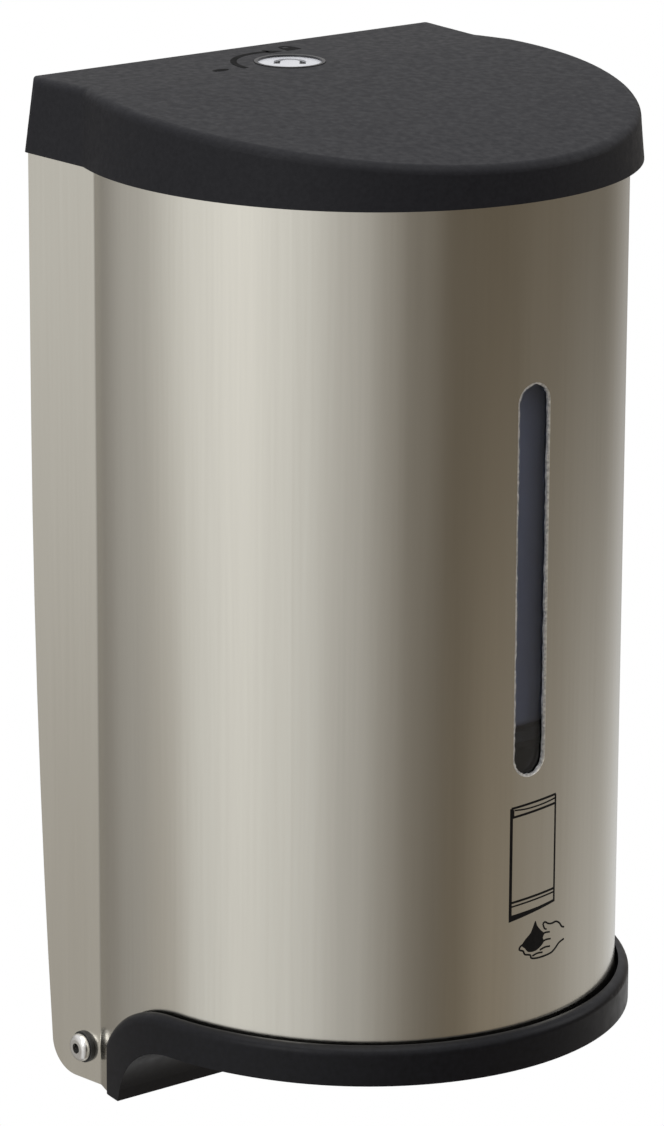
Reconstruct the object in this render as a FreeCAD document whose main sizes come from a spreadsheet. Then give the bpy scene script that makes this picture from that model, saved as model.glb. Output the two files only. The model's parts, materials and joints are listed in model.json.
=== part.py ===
"""Wall mounted automatic soap dispenser, millimetres.

Frame: the wall is the plane y = 0 and the dispenser stands out from it towards -Y. +X is to the right
for someone facing it, +Z is up. The origin is on the wall, in the middle of the four fixing screws.
"""
import FreeCAD, Part
import math
import os
import re
import sys

import Sketcher

Vector = FreeCAD.Vector

# Driving dimensions. Depths are measured from the wall towards the front, levels along Z.
SIZES = {
    # cover outline seen from above: one front arc, two tangent side arcs, straight flaring side panels
    "front_radius": 67.35, "side_radius": 77.3, "front_centre_depth": 57.7, "front_half_angle": 55,
    "sleeve_grow": 0, "sleeve_corner_depth": 25.6, "sleeve_rear_half": 67.5, "sleeve_rear_depth": 0.5,
    "sheet_thickness": 1.0, "bore_grow": -1.0, "bore_corner_depth": 25.3, "bore_rear_half": 66.6,
    "bore_rear_depth": -2.0,
    "sleeve_foot_level": -131.5, "sleeve_top_level": 126.0, "sleeve_front_level": -105.5,
    "sleeve_arch_depth": 60.0, "sleeve_arch_radius": 19.5, "sleeve_leg_depth": 33.0,
    "rear_curve_level": 50.0, "rear_curve_radius": 2504.0, "rear_corner_radius": 9.0,
    "rear_corner_level": -122.5, "rear_corner_depth": 6.4, "bend_outside": 2.0, "bend_inside": 1.5,
    # window in the sleeve
    "slot_width": 10.6, "slot_low_level": -31.2, "slot_high_level": 73.0,
    "lens_outer_radius": 66.0, "lens_thickness": 1.5, "lens_half_width": 9.0, "lens_margin": 5.0,
    # lid
    "lid_foot_level": 120.4, "lid_top_level": 139.6, "lid_grow": 3.59, "lid_corner_depth": 26.5,
    "lid_rear_half": 69.8, "lid_top_grow": 1.9, "lid_top_corner_depth": 22.0, "lid_top_rear_half": 66.9,
    "lid_wall": 2.4, "lid_in_grow": 1.2, "lid_in_rear_half": 68.6, "lid_in_top_grow": -0.4,
    "lid_in_top_rear_half": 66.1, "lid_in_corner_depth": 25.5, "lid_in_top_corner_depth": 21.6,
    "lid_in_rear_depth": 2.9, "lid_in_top_rear_depth": 2.9, "lid_rear_depth": 0.5,
    "lid_top_rear_depth": 0.5, "crease_depth": 33.5, "crown_radius": 855.0, "crown_drop": 10.06,
    "crown_end_depth": 132.0, "lid_edge_radius": 2.5,
    "boss_radius": 3.5, "boss_front_half": 30.0, "boss_front_depth": 107.5,
    "boss_side_half": 59.5, "boss_side_depth": 56.0, "tab_level": 124.8, "tab_thickness": 1.0,
    "tab_half": 6.0, "tab_hole_radius": 1.7, "tab_grow": -0.5, "lid_screw_length": 5.5,
    # lock
    "lock_depth": 24.0, "lock_hole_radius": 7.6, "lock_body_radius": 7.5, "lock_flange_radius": 9.4,
    "lock_flange_level": 139.8, "lock_rest_level": 138.0, "lock_bore_radius": 8.55, "plug_radius": 8.5,
    "plug_top_level": 139.25, "plug_head_level": 138.35, "lock_foot_level": 127.5, "plug_stem_radius": 5.0,
    "plug_stem_bore": 5.05, "cam_level": 124.0, "cam_thickness": 1.8, "cam_reach": 14.0,
    "cam_half_width": 3.5, "cam_square_half": 2.5, "key_radius": 3.4, "key_width": 1.7, "key_leg": 3.0,
    "key_pocket": 0.5, "key_turn": -40, "lock_nut_half": 10.0, "lock_nut_thickness": 3.1,
    "lock_nut_corner": 3.5,
    # base trim
    "trim_grow": 3.85, "trim_corner_depth": 38.2, "trim_rear_half": 69.4, "trim_rear_depth": 35.5,
    "trim_foot_level": -128.4, "trim_top_level": -99.1, "trim_floor_level": -109.4, "trim_skin": 2.5,
    "arch_depth": 66.0, "arch_radius": 21.7, "arch_leg_depth": 45.2, "leg_front_depth": 44.2,
    "shoulder_depth": 64.0, "shoulder_radius": 31.9, "trim_in_grow": 1.1, "trim_in_corner_depth": 36.0,
    "trim_in_rear_half": 66.9, "trim_in_rear_depth": 30.0, "trim_edge_radius": 2.4, "heel_radius": 3.5,
    "low_tab_level": -104.5, "low_boss_depth": 108.0, "low_side_half": 59.5, "low_side_depth": 74.0,
    "nozzle_hole_radius": 8.5, "eye_half_x": 12.0, "eye_half_y": 5.0, "eye_depth": 92.0,
    # hinge
    "pin_depth": 19.0, "pin_level": -122.3, "pin_radius": 2.0, "bush_bore_radius": 2.06,
    "bush_radius": 3.5, "bush_flange_radius": 4.3, "bush_flange_half": 66.0, "bush_in_half": 63.4,
    "bush_seat_half": 64.9, "ear_face_half": 63.0, "ear_in_half": 56.0, "ear_radius": 8.0,
    "ear_top_level": -100.0, "head_radius": 3.8, "head_height": 2.0, "head_dome": 1.5, "head_gap": 0.15,
    "hex_radius": 1.45, "insert_radius": 2.9,
    # back plate and shelf
    "plate_thickness": 3.0, "plate_half": 60.0, "plate_top_level": 118.0, "plate_foot_level": -112.0,
    "rim_depth": 7.0, "sill_level": -108.5, "sill_depth": 32.0, "rim_width": 2.0, "fixing_half_x": 42.0,
    "fixing_half_z": 70.0, "fixing_radius": 2.75, "fixing_pad_radius": 7.0, "fixing_pad_depth": 4.5,
    "board_post_radius": 2.6, "board_fixing_half_z": 20.0, "thread_floor_depth": 0.6, "thread_depth": 10.0,
    "keeper_low_x": 12.0, "keeper_high_x": 28.0, "keeper_arm_low_x": 19.0, "keeper_arm_high_x": 21.0,
    "keeper_sheet": 1.5, "keeper_front_depth": 32.0, "keeper_riser_depth": 20.0, "keeper_foot_level": 100.0,
    "keeper_lip_x": 8.5, "keeper_lip_width": 2.5, "keeper_hole_x": 25.0,
    "shelf_level": -24.0, "shelf_thickness": 3.0, "shelf_half": 50.0,
    "flange_foot_level": -44.0, "flange_depth": 6.0, "web_half": 44.0, "web_depth": 44.0,
    "shelf_fixing_half": 32.0, "wire_hole_x": -24.0, "wire_hole_depth": 13.0, "wire_hole_radius": 3.0,
    # reservoir
    "tank_grow": -6.7, "tank_corner_depth": 36.0, "tank_rear_half": 57.0, "tank_rear_depth": 31.0,
    "tank_in_grow": -8.5, "tank_in_corner_depth": 37.0, "tank_in_rear_half": 55.2,
    "tank_in_rear_depth": 32.8, "tank_foot_level": -20.5, "tank_top_level": 88.0, "tank_wall": 1.8,
    "neck_depth": 72.0, "neck_radius": 22.0, "neck_bore_radius": 20.0, "neck_top_level": 98.0,
    "spout_depth": 66.0, "spout_radius": 8.0, "spout_bore_radius": 5.5, "spout_foot_level": -32.0,
    "tank_corner_radius": 3.0,
    "cap_radius": 26.0, "cap_in_radius": 22.4, "cap_level": 89.0, "cap_top_level": 103.0,
    "cap_seal_height": 1.2, "cap_grip_half": 3.0, "cap_grip_height": 3.0, "cap_notch_radius": 2.2,
    "cap_notch_orbit": 26.8, "cap_vent_x": 8.0, "cap_vent_depth": 63.0,
    # outlet valve
    "seat_bore_radius": 2.5, "seat_height": 2.0, "poppet_radius": 4.6, "poppet_height": 1.6,
    "poppet_stem_radius": 1.2, "cage_bore_radius": 1.3, "cage_height": 1.4, "cage_low_level": -20.9,
    "port_orbit": 3.4, "port_radius": 1.3, "spring_radius": 3.0, "spring_wire": 0.35,
    "socket_wall": 2.9, "socket_floor": 3.0,
    # pump
    "rotor_depth": 80.0, "rotor_level": -62.0, "track_radius": 20.6, "pump_half": 7.0,
    "pump_wall": 2.0, "tube_radius": 3.5, "tube_bore_radius": 2.0, "tube_centre_radius": 17.0,
    "tube_bend_radius": 6.5, "tube_top_level": -33.0, "tube_foot_level": -93.5,
    "shaft_radius": 2.0, "shaft_bore_radius": 2.05, "roller_radius": 4.0, "roller_orbit": 9.2,
    "roller_half": 3.9, "roller_pin_radius": 1.2, "roller_bore_radius": 1.25, "cheek_radius": 12.6,
    "cheek_in": 4.3, "cheek_out": 6.1, "hub_radius": 4.6,
    "pump_front_depth": 104.0, "pump_rear_depth": 56.0, "pump_top_level": -37.0,
    "tube_room": 0.8, "channel_rise": 23.5,
    "pump_foot_level": -92.0, "nozzle_radius": 5.0, "nozzle_tip_level": -113.0,
    # gearbox and motor
    "gear_module": 0.8, "rotor_teeth": 36, "idler_teeth": 40, "idler_pinion_teeth": 12,
    "motor_teeth": 10, "gear_bend_angle": 20, "box_low_x": 9.0, "box_high_x": 25.0, "box_wall": 2.0,
    "box_front_depth": 99.0, "box_rear_depth": 31.0, "box_top_level": -34.0, "box_foot_level": -84.0,
    "first_layer_x": 12.0, "second_layer_x": 18.5, "gear_width": 5.0, "gear_backlash": 0.22,
    "axle_radius": 1.5, "axle_bore_radius": 1.55, "motor_radius": 10.0, "motor_low_x": -17.0,
    "motor_shaft_radius": 1.0, "motor_bore_radius": 1.05, "motor_shaft_start_x": 3.5,
    # batteries
    "cell_radius": 7.1, "cell_pitch": 15.2, "cell_depth": 11.9, "cell_foot_level": 33.0,
    "cell_length": 50.2, "case_half": 32.0, "case_foot_level": 28.0, "case_top_level": 87.0,
    "case_depth": 20.5, "case_wall": 1.8, "door_depth": 20.8, "door_thickness": 1.5,
    # electronics
    "board_half": 30.0, "board_rear_depth": 7.4, "board_thickness": 1.6, "board_low_level": -100.0,
    "board_high_level": -50.0, "eye_board_level": -100.2, "eye_board_half": 14.0,
    "eye_post_x": -4.0, "eye_post_spread": 5.0, "eye_post_radius": 2.2, "plug_height": 5.0,
    "plug_low_x": -22.5, "plug_high_x": -12.5, "plug_low_level": -62.0, "plug_high_level": -56.0,
    "motor_plug_low_x": -22.0, "motor_plug_high_x": -14.0, "motor_plug_low_level": -88.0,
    "motor_plug_high_level": -82.0, "chip_half": 6.0, "chip_level": -74.0, "chip_height": 1.6,
    "driver_low_x": 12.0, "driver_high_x": 20.0, "driver_low_level": -86.0, "driver_high_level": -78.0,
    "driver_height": 3.0, "capacitor_x": 16.0, "capacitor_level": -64.0, "capacitor_radius": 3.2,
    "capacitor_height": 9.0, "led_x": 8.0, "led_radius": 2.5, "lamp_radius": 1.5, "lamp_height": 3.6,
    "switch_x": 38.0, "switch_depth": 54.0, "switch_half_width": 4.0, "switch_half_length": 8.0,
    "switch_height": 7.0, "knob_travel": 3.0, "knob_half_width": 1.7, "knob_half_length": 3.6,
    "knob_reach": 9.5, "knob_root": 3.4, "knob_edge_radius": 0.4,
    "battery_lead_radius": 1.1, "thin_lead_radius": 0.9,
    # fasteners
    "screw_radius": 1.45, "screw_head_radius": 2.8, "screw_head_height": 2.0,
}

document = FreeCAD.newDocument("SoapDispenser")
sheet = document.addObject("Spreadsheet::Sheet", "Sizes")
for row, (alias, number) in enumerate(SIZES.items(), start=1):
    sheet.set(f"A{row}", alias)
    sheet.set(f"B{row}", str(number))
    sheet.setAlias(f"B{row}", alias)
probe = document.addObject("App::FeaturePython", "Probe")
probe.addProperty("App::PropertyFloat", "Reading")
document.recompute()

SUBPARTS = []


# ---------------------------------------------------------------- helpers

def bound(text):
    """Turn a formula over size names into an expression over the sheet's cells."""
    return re.sub(r"[a-z]+(?:_[a-z0-9]+)+", lambda found: "Sizes." + found.group(0), str(text))


def reading(text):
    """Present value of a formula over size names."""
    probe.setExpression("Reading", bound(text))
    probe.recompute()
    return probe.Reading


def subpart(item, name):
    """Name an object as one piece of the dispenser."""
    item.Label = name
    SUBPARTS.append(item)
    return item


def box(name, x, y, z):
    """Block between two formulas along each axis."""
    item = document.addObject("Part::Box", name)
    for side, axis, (low, high) in zip(("Length", "Width", "Height"), "xyz", (x, y, z)):
        item.setExpression(side, bound(f"({high}) - ({low})"))
        item.setExpression(f"Placement.Base.{axis}", bound(low))
    return item


TURNS = {
    "x": FreeCAD.Rotation(Vector(0, 1, 0), 90),
    "y": FreeCAD.Rotation(Vector(1, 0, 0), -90),
    "z": FreeCAD.Rotation(),
}


def rod(name, axis, radius, centre, ends, top_radius=None):
    """Cylinder, or cone, along an axis; centre holds the two formulas across it."""
    kind = "Part::Cylinder" if top_radius is None else "Part::Cone"
    item = document.addObject(kind, name)
    item.Placement.Rotation = TURNS[axis]
    item.setExpression("Height", bound(f"({ends[1]}) - ({ends[0]})"))
    if top_radius is None:
        item.setExpression("Radius", bound(radius))
    else:
        item.setExpression("Radius1", bound(radius))
        item.setExpression("Radius2", bound(top_radius))
    across = [letter for letter in "xyz" if letter != axis]
    for letter, formula in zip(across, centre):
        item.setExpression(f"Placement.Base.{letter}", bound(formula))
    item.setExpression(f"Placement.Base.{axis}", bound(ends[0]))
    return item


def fuse(name, *pieces):
    item = document.addObject("Part::MultiFuse", name)
    item.Shapes = list(pieces)
    item.Refine = True
    return item


def cut(name, base, *tools):
    item = document.addObject("Part::Cut", name)
    item.Base = base
    item.Tool = tools[0] if len(tools) == 1 else fuse(name + "_tools", *tools)
    item.Refine = True
    return item


def common(name, first, second):
    item = document.addObject("Part::Common", name)
    item.Base = first
    item.Tool = second
    return item


def group(name, *pieces):
    """Several separate solids kept as one piece of the parts list."""
    item = document.addObject("Part::Compound", name)
    item.Links = list(pieces)
    return item


def ring(name, axis, radius, bore, centre, ends):
    outer = rod(name + "_outer", axis, radius, centre, ends)
    inner = rod(name + "_bore", axis, bore, centre, (f"{ends[0]} - 1", f"{ends[1]} + 1"))
    return cut(name, outer, inner)


def plane(body, role):
    return next(feature for feature in body.Origin.OriginFeatures if feature.Role == role)


def sketch_on(body, name, role, offset=None):
    sketch = body.newObject("Sketcher::SketchObject", name)
    sketch.AttachmentSupport = [(plane(body, role), "")]
    sketch.MapMode = "FlatFace"
    if offset is not None:
        sketch.setExpression("AttachmentOffset.Base.z", bound(offset))
    return sketch


def bind(sketch, name, constraint, formula):
    index = sketch.addConstraint(constraint)
    sketch.renameConstraint(index, name)
    sketch.setExpression("Constraints." + name, bound(formula))


def outline(body, name, level, key, grow=None):
    """Closed cover outline seen from above, grown outwards by a size. key names its three rear sizes."""
    grow = grow or key + "_grow"
    corner, half, depth = (f"{key}_{what}" for what in ("corner_depth", "rear_half", "rear_depth"))
    sketch = sketch_on(body, name, "XY_Plane", level)
    spread = math.radians(SIZES["front_half_angle"])
    front = reading(f"front_radius + {grow}")
    side = reading(f"side_radius + {grow}")
    shift = SIZES["side_radius"] - SIZES["front_radius"]
    centre = Vector(0, -SIZES["front_centre_depth"], 0)
    side_centre = centre + Vector(shift * math.sin(spread), shift * math.cos(spread), 0)
    corner_rise = side_centre.y + SIZES[corner]
    corner_angle = math.asin(-corner_rise / side)
    corner_x = side * math.cos(corner_angle) - side_centre.x
    normal = Vector(0, 0, 1)
    left = Part.Circle(side_centre, normal, side)
    right = Part.Circle(Vector(-side_centre.x, side_centre.y, 0), normal, side)
    quarter = math.pi / 2
    near_left = Vector(-corner_x, -SIZES[corner], 0)
    near_right = Vector(corner_x, -SIZES[corner], 0)
    wall_left = Vector(-SIZES[half], -SIZES[depth], 0)
    wall_right = Vector(SIZES[half], -SIZES[depth], 0)
    arcs = [
        Part.ArcOfCircle(Part.Circle(centre, normal, front), 3 * quarter - spread, 3 * quarter + spread),
        Part.ArcOfCircle(left, math.pi + corner_angle, 3 * quarter - spread),
        Part.ArcOfCircle(right, 3 * quarter + spread, 4 * quarter - corner_angle),
    ]
    lines = [
        Part.LineSegment(near_left, wall_left),
        Part.LineSegment(near_right, wall_right),
        Part.LineSegment(wall_left, wall_right),
    ]
    for curve in arcs + lines:
        sketch.addGeometry(curve)
    for constraint in (
        Sketcher.Constraint("Tangent", 1, 2, 0, 1), Sketcher.Constraint("Tangent", 2, 1, 0, 2),
        Sketcher.Constraint("Coincident", 3, 1, 1, 1), Sketcher.Constraint("Coincident", 4, 1, 2, 2),
        Sketcher.Constraint("Coincident", 5, 1, 3, 2), Sketcher.Constraint("Coincident", 5, 2, 4, 2),
        Sketcher.Constraint("PointOnObject", 0, 3, -2), Sketcher.Constraint("Equal", 1, 2),
    ):
        sketch.addConstraint(constraint)
    reach = front * math.sin(spread)
    joint_x = f"(front_radius + {grow}) * sin(front_half_angle)"
    bind(sketch, "centre", Sketcher.Constraint("DistanceY", 0, 3, -1, 1, -centre.y), "front_centre_depth")
    bind(sketch, "front", Sketcher.Constraint("Radius", 0, front), f"front_radius + {grow}")
    bind(sketch, "side", Sketcher.Constraint("Radius", 1, side), f"side_radius + {grow}")
    bind(sketch, "left_joint", Sketcher.Constraint("DistanceX", 0, 1, -1, 1, reach), joint_x)
    bind(sketch, "right_joint", Sketcher.Constraint("DistanceX", -1, 1, 0, 2, reach), joint_x)
    for label, first in (("left_corner", (1, 1)), ("right_corner", (2, 2))):
        bind(sketch, label, Sketcher.Constraint("DistanceY", *first, -1, 1, SIZES[corner]), corner)
    bind(sketch, "left_wall", Sketcher.Constraint("DistanceX", 3, 2, -1, 1, SIZES[half]), half)
    bind(sketch, "right_wall", Sketcher.Constraint("DistanceX", -1, 1, 4, 2, SIZES[half]), half)
    bind(sketch, "wall_gap", Sketcher.Constraint("DistanceY", 3, 2, -1, 1, SIZES[depth]), depth)
    bind(sketch, "other_gap", Sketcher.Constraint("DistanceY", 4, 2, -1, 1, SIZES[depth]), depth)
    return sketch


def side_profile(body, name, points, arcs):
    """Closed outline in the YZ plane. points are pairs of formulas; arcs gives, for the run that starts
    at a point's index, the formulas of its radius and +1 for a turn to the left, -1 to the right."""
    sketch = sketch_on(body, name, "YZ_Plane")
    places = [Vector(reading(y), reading(z), 0) for y, z in points]
    count = len(places)
    ends = []
    for index, start in enumerate(places):
        finish = places[(index + 1) % count]
        if index not in arcs:
            sketch.addGeometry(Part.LineSegment(start, finish))
            ends.append((1, 2))
            continue
        radius, turn = arcs[index]
        size = reading(radius)
        half = (finish - start).Length / 2
        away = Vector(start.y - finish.y, finish.x - start.x, 0).normalize() * turn
        centre = (start + finish) / 2 + away * math.sqrt(size * size - half * half)
        first, last = (start, finish) if turn > 0 else (finish, start)
        low = math.atan2(first.y - centre.y, first.x - centre.x)
        high = math.atan2(last.y - centre.y, last.x - centre.x)
        if high < low:
            high += 2 * math.pi
        sketch.addGeometry(Part.ArcOfCircle(Part.Circle(centre, Vector(0, 0, 1), size), low, high))
        ends.append((1, 2) if turn > 0 else (2, 1))
    for index in range(count):
        after = (index + 1) % count
        sketch.addConstraint(Sketcher.Constraint("Coincident", index, ends[index][1], after, ends[after][0]))
    for index, (y, z) in enumerate(points):
        start = ends[index][0]
        place = places[index]
        bind(sketch, f"depth{index}", Sketcher.Constraint("DistanceX", -1, 1, index, start, place.x), y)
        bind(sketch, f"level{index}", Sketcher.Constraint("DistanceY", -1, 1, index, start, place.y), z)
        if index in arcs:
            radius = arcs[index][0]
            bind(sketch, f"bend{index}", Sketcher.Constraint("Radius", index, reading(radius)), radius)
    return sketch


def pad(body, name, sketch, length):
    item = body.newObject("PartDesign::Pad", name)
    item.Profile = sketch
    item.setExpression("Length", bound(length))
    return item


def pocket(body, name, sketch, both_ways=True, reverse=False):
    """Cut right through; the volume must fall."""
    document.recompute()
    before = body.Shape.Volume
    item = body.newObject("PartDesign::Pocket", name)
    item.Profile = sketch
    item.Type = "ThroughAll"
    item.SideType = "Symmetric" if both_ways else "One side"
    item.Reversed = reverse
    document.recompute()
    if body.Shape.Volume > before - 1:
        sys.exit(f"{name} cuts nothing")
    return item


def new_body(name):
    return document.addObject("PartDesign::Body", name)


def solid_outline(name, key, low, high, grow=None):
    """Upright prism of a cover outline."""
    body = new_body(name)
    pad(body, name + "_pad", outline(body, name + "_plan", low, key, grow), f"({high}) - ({low})")
    return body


SMALL_SCREW = ("screw_radius", "screw_head_radius", "screw_head_height", "screw_radius * 0.75")
HINGE_SCREW = ("pin_radius", "head_radius", "head_height", "hex_radius")


def screw(name, axis, centre, head_end, tip_end, sizes=SMALL_SCREW):
    """Screw with its head's outer face at head_end; sizes are shank, head radius, head height, socket."""
    shank, head, height, socket = sizes
    upward = reading(head_end) < reading(tip_end)
    sign = "+" if upward else "-"
    neck = f"{head_end} {sign} {height}"
    floor = f"{head_end} {sign} {height} * 0.6"
    stem = rod(name + "_stem", axis, shank, centre, (neck, tip_end) if upward else (tip_end, neck))
    cap = rod(name + "_head", axis, head, centre, (head_end, neck) if upward else (neck, head_end))
    recess = rod(name + "_recess", axis, socket, centre, (head_end, floor) if upward else (floor, head_end))
    return cut(name, fuse(name + "_blank", stem, cap), recess)


def sided(sign, low, high):
    """The span low..high on the right, or its mirror image on the left."""
    return (low, high) if sign > 0 else (f"-({high})", f"-({low})")


def drilled(name, axis, radius, centres, ends):
    """One cylinder for each centre."""
    return [rod(f"{name}{number}", axis, radius, centre, ends) for number, centre in enumerate(centres)]


def rounded(name, base, radius, wanted):
    """Fillet the edges that wanted() picks by their middle and length."""
    document.recompute()
    picked = []
    for number, edge in enumerate(base.Shape.Edges, start=1):
        middle = edge.valueAt((edge.FirstParameter + edge.LastParameter) / 2)
        if wanted(edge, middle):
            picked.append((number, reading(radius), reading(radius)))
    item = document.addObject("Part::Fillet", name)
    item.Base = base
    item.Edges = picked
    return item


def made(name, shape, place=Vector()):
    """A piece whose outline only a formula gives."""
    item = document.addObject("Part::Feature", name)
    item.Shape = shape
    item.Placement = FreeCAD.Placement(place, FreeCAD.Rotation())
    return item


SIDES = (("left", -1), ("right", 1))
CORNERS = ((-1, -1), (1, -1), (-1, 1), (1, 1))


# ---------------------------------------------------------------- cover

FRONT_CENTRE = "-front_centre_depth"
PIN = ("-pin_depth", "pin_level")
LOCK = ("0", "-lock_depth")
TOP_BOSSES = [(f"{sign} * boss_front_half", "-boss_front_depth") for _, sign in SIDES]
TOP_BOSSES += [(f"{sign} * boss_side_half", "-boss_side_depth") for _, sign in SIDES]
LOW_BOSSES = [(f"{sign} * boss_front_half", "-low_boss_depth") for _, sign in SIDES]
LOW_BOSSES += [(f"{sign} * low_side_half", "-low_side_depth") for _, sign in SIDES]


def tabs(name, level, front_depth, side_depth, centres):
    """Four ears bent in from the sleeve, each with a screw hole."""
    high = f"{level} + tab_thickness"
    zone = solid_outline(name + "_zone", "bore", level, high, "tab_grow")
    blanks = []
    for side, sign in SIDES:
        front_x = sided(sign, "boss_front_half - tab_half", "boss_front_half + tab_half")
        front_y = ("-front_centre_depth - front_radius", f"{front_depth} + tab_half")
        side_x = sided(sign, "boss_side_half - tab_half", "side_radius")
        side_y = (f"{side_depth} - tab_half", f"{side_depth} + tab_half")
        blanks.append(box(f"{name}_front_{side}", front_x, front_y, (level, high)))
        blanks.append(box(f"{name}_side_{side}", side_x, side_y, (level, high)))
    ears = common(name + "_ears", zone, fuse(name + "_blanks", *blanks))
    holes = drilled(name + "_hole", "z", "tab_hole_radius", centres, (f"{level} - 1", f"{high} + 1"))
    return cut(name, ears, *holes)


def sleeve():
    body = new_body("sleeve")
    plan = outline(body, "sleeve_plan", "sleeve_foot_level", "sleeve")
    pad(body, "sleeve_wall", plan, "sleeve_top_level - sleeve_foot_level")
    inside = outline(body, "bore_plan", "sleeve_top_level + 1", "bore")
    pocket(body, "sleeve_bore", inside, both_ways=False)
    below = "sleeve_foot_level - 5"
    beyond = "-front_centre_depth - side_radius"
    front = [
        (beyond, "sleeve_front_level"),
        ("-sleeve_arch_depth", "sleeve_front_level"),
        ("-sleeve_arch_depth + sleeve_arch_radius", "sleeve_front_level - sleeve_arch_radius"),
        ("-sleeve_leg_depth", "sleeve_foot_level"),
        ("-sleeve_leg_depth", below),
        (beyond, below),
    ]
    pocket(body, "front_foot", side_profile(body, "front_foot_line", front, {1: ("sleeve_arch_radius", -1)}))
    back = [
        ("-sleeve_rear_depth", "rear_curve_level"),
        ("-rear_corner_depth", "rear_corner_level"),
        ("-rear_corner_depth - rear_corner_radius", "sleeve_foot_level"),
        ("-rear_corner_depth - rear_corner_radius", below),
        ("rear_corner_depth", below),
        ("rear_corner_depth", "rear_curve_level"),
    ]
    bends = {0: ("rear_curve_radius", -1), 1: ("rear_corner_radius", -1)}
    pocket(body, "rear_edge", side_profile(body, "rear_edge_line", back, bends))
    return body


def cover_shell():
    half = "slot_width / 2"
    through = ("-front_centre_depth - side_radius", FRONT_CENTRE)
    rise = (f"slot_low_level + {half}", f"slot_high_level - {half}")
    slot = [box("slot_middle", (f"-({half})", half), through, rise)]
    slot += drilled("slot_end", "y", half, [("0", rise[0]), ("0", rise[1])], through)
    holes = []
    for side, sign in SIDES:
        through_side = sided(sign, "ear_in_half", "bush_flange_half + 2")
        holes.append(rod(f"bush_hole_{side}", "x", "bush_radius", PIN, through_side))
        seat = sided(sign, "bush_seat_half", "bush_flange_half + 2")
        holes.append(rod(f"bush_seat_{side}", "x", "bush_flange_radius", PIN, seat))
    top = tabs("top_tabs", "tab_level", "-boss_front_depth", "-boss_side_depth", TOP_BOSSES)
    low = tabs("low_tabs", "low_tab_level", "-low_boss_depth", "-low_side_depth", LOW_BOSSES)

    def bend_edge(edge, middle):
        upright = abs(edge.tangentAt(edge.FirstParameter).z) > 0.999 and edge.Length > 100
        return upright and abs(middle.y + SIZES["sleeve_corner_depth"]) < 0.1

    def inner_bend_edge(edge, middle):
        upright = abs(edge.tangentAt(edge.FirstParameter).z) > 0.999 and edge.Length > 100
        return upright and abs(middle.y + SIZES["bore_corner_depth"]) < 0.1

    outside = rounded("sleeve_bends", sleeve(), "bend_outside", bend_edge)
    bent = rounded("sleeve_inner_bends", outside, "bend_inside", inner_bend_edge)
    wall = cut("sleeve_open", bent, *slot, *holes)
    subpart(fuse("cover_shell_solid", wall, top, low), "cover_shell")


def lid_form(name, low, high, foot_key, top_key, skin):
    """Draughted cap with a flat rear top and a crown that falls away to the front."""
    body = new_body(name)
    foot = outline(body, name + "_foot", low, foot_key)
    roof = outline(body, name + "_roof", high, top_key)
    loft = body.newObject("PartDesign::AdditiveLoft", name + "_loft")
    loft.Profile = foot
    loft.Sections = [(roof, [""])]
    loft.Ruled = True
    crest = f"lid_top_level - {skin}"
    above = "lid_top_level + 5"
    line = [
        ("-crease_depth", crest),
        ("-crown_end_depth", f"{crest} - crown_drop"),
        ("-crown_end_depth", above),
        ("-crease_depth", above),
    ]
    pocket(body, name + "_crown", side_profile(body, name + "_crown_line", line, {0: ("crown_radius", 1)}))
    return body


def lid():
    outside = lid_form("lid_outside", "lid_foot_level", "lid_top_level", "lid", "lid_top", "0")
    inside = lid_form("lid_inside", "lid_foot_level - 1", "lid_top_level - lid_wall", "lid_in",
                      "lid_in_top", "lid_wall")

    def top_edge(edge, middle):
        along_x = abs(edge.tangentAt(edge.FirstParameter).x) > 0.999 and abs(middle.x) < 1
        return middle.z > SIZES["lid_foot_level"] + 8 and not along_x and edge.Length > 12

    soft = rounded("lid_soft", outside, "lid_edge_radius", top_edge)
    shell = cut("lid_shell", soft, inside)
    bosses = drilled("lid_boss", "z", "boss_radius", TOP_BOSSES,
                     ("sleeve_top_level", "lid_top_level - lid_wall"))
    posts = [common(f"lid_post{number}", boss, inside) for number, boss in enumerate(bosses)]
    pilots = drilled("lid_pilot", "z", "screw_radius", TOP_BOSSES,
                     ("sleeve_top_level - 1", "tab_level + lid_screw_length + 0.5"))
    hole = rod("lock_hole", "z", "lock_hole_radius", LOCK, ("lid_foot_level", "lid_top_level + 1"))
    recess = rod("lock_recess", "z", "lock_flange_radius + 0.1", LOCK, ("lock_rest_level", "lid_top_level + 1"))
    notches = []
    for side, sign in SIDES:
        notch_x = sided(sign, "bore_rear_half - 0.8", "sleeve_rear_half + 0.2")
        notch_y = ("-lid_in_rear_depth - 0.1", "0")
        notch_z = ("lid_foot_level - 1", "sleeve_top_level + 0.3")
        notches.append(box(f"lid_notch_{side}", notch_x, notch_y, notch_z))
    subpart(cut("lid_solid", fuse("lid_blank", shell, *posts), hole, recess, *notches, *pilots), "lid")


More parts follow.
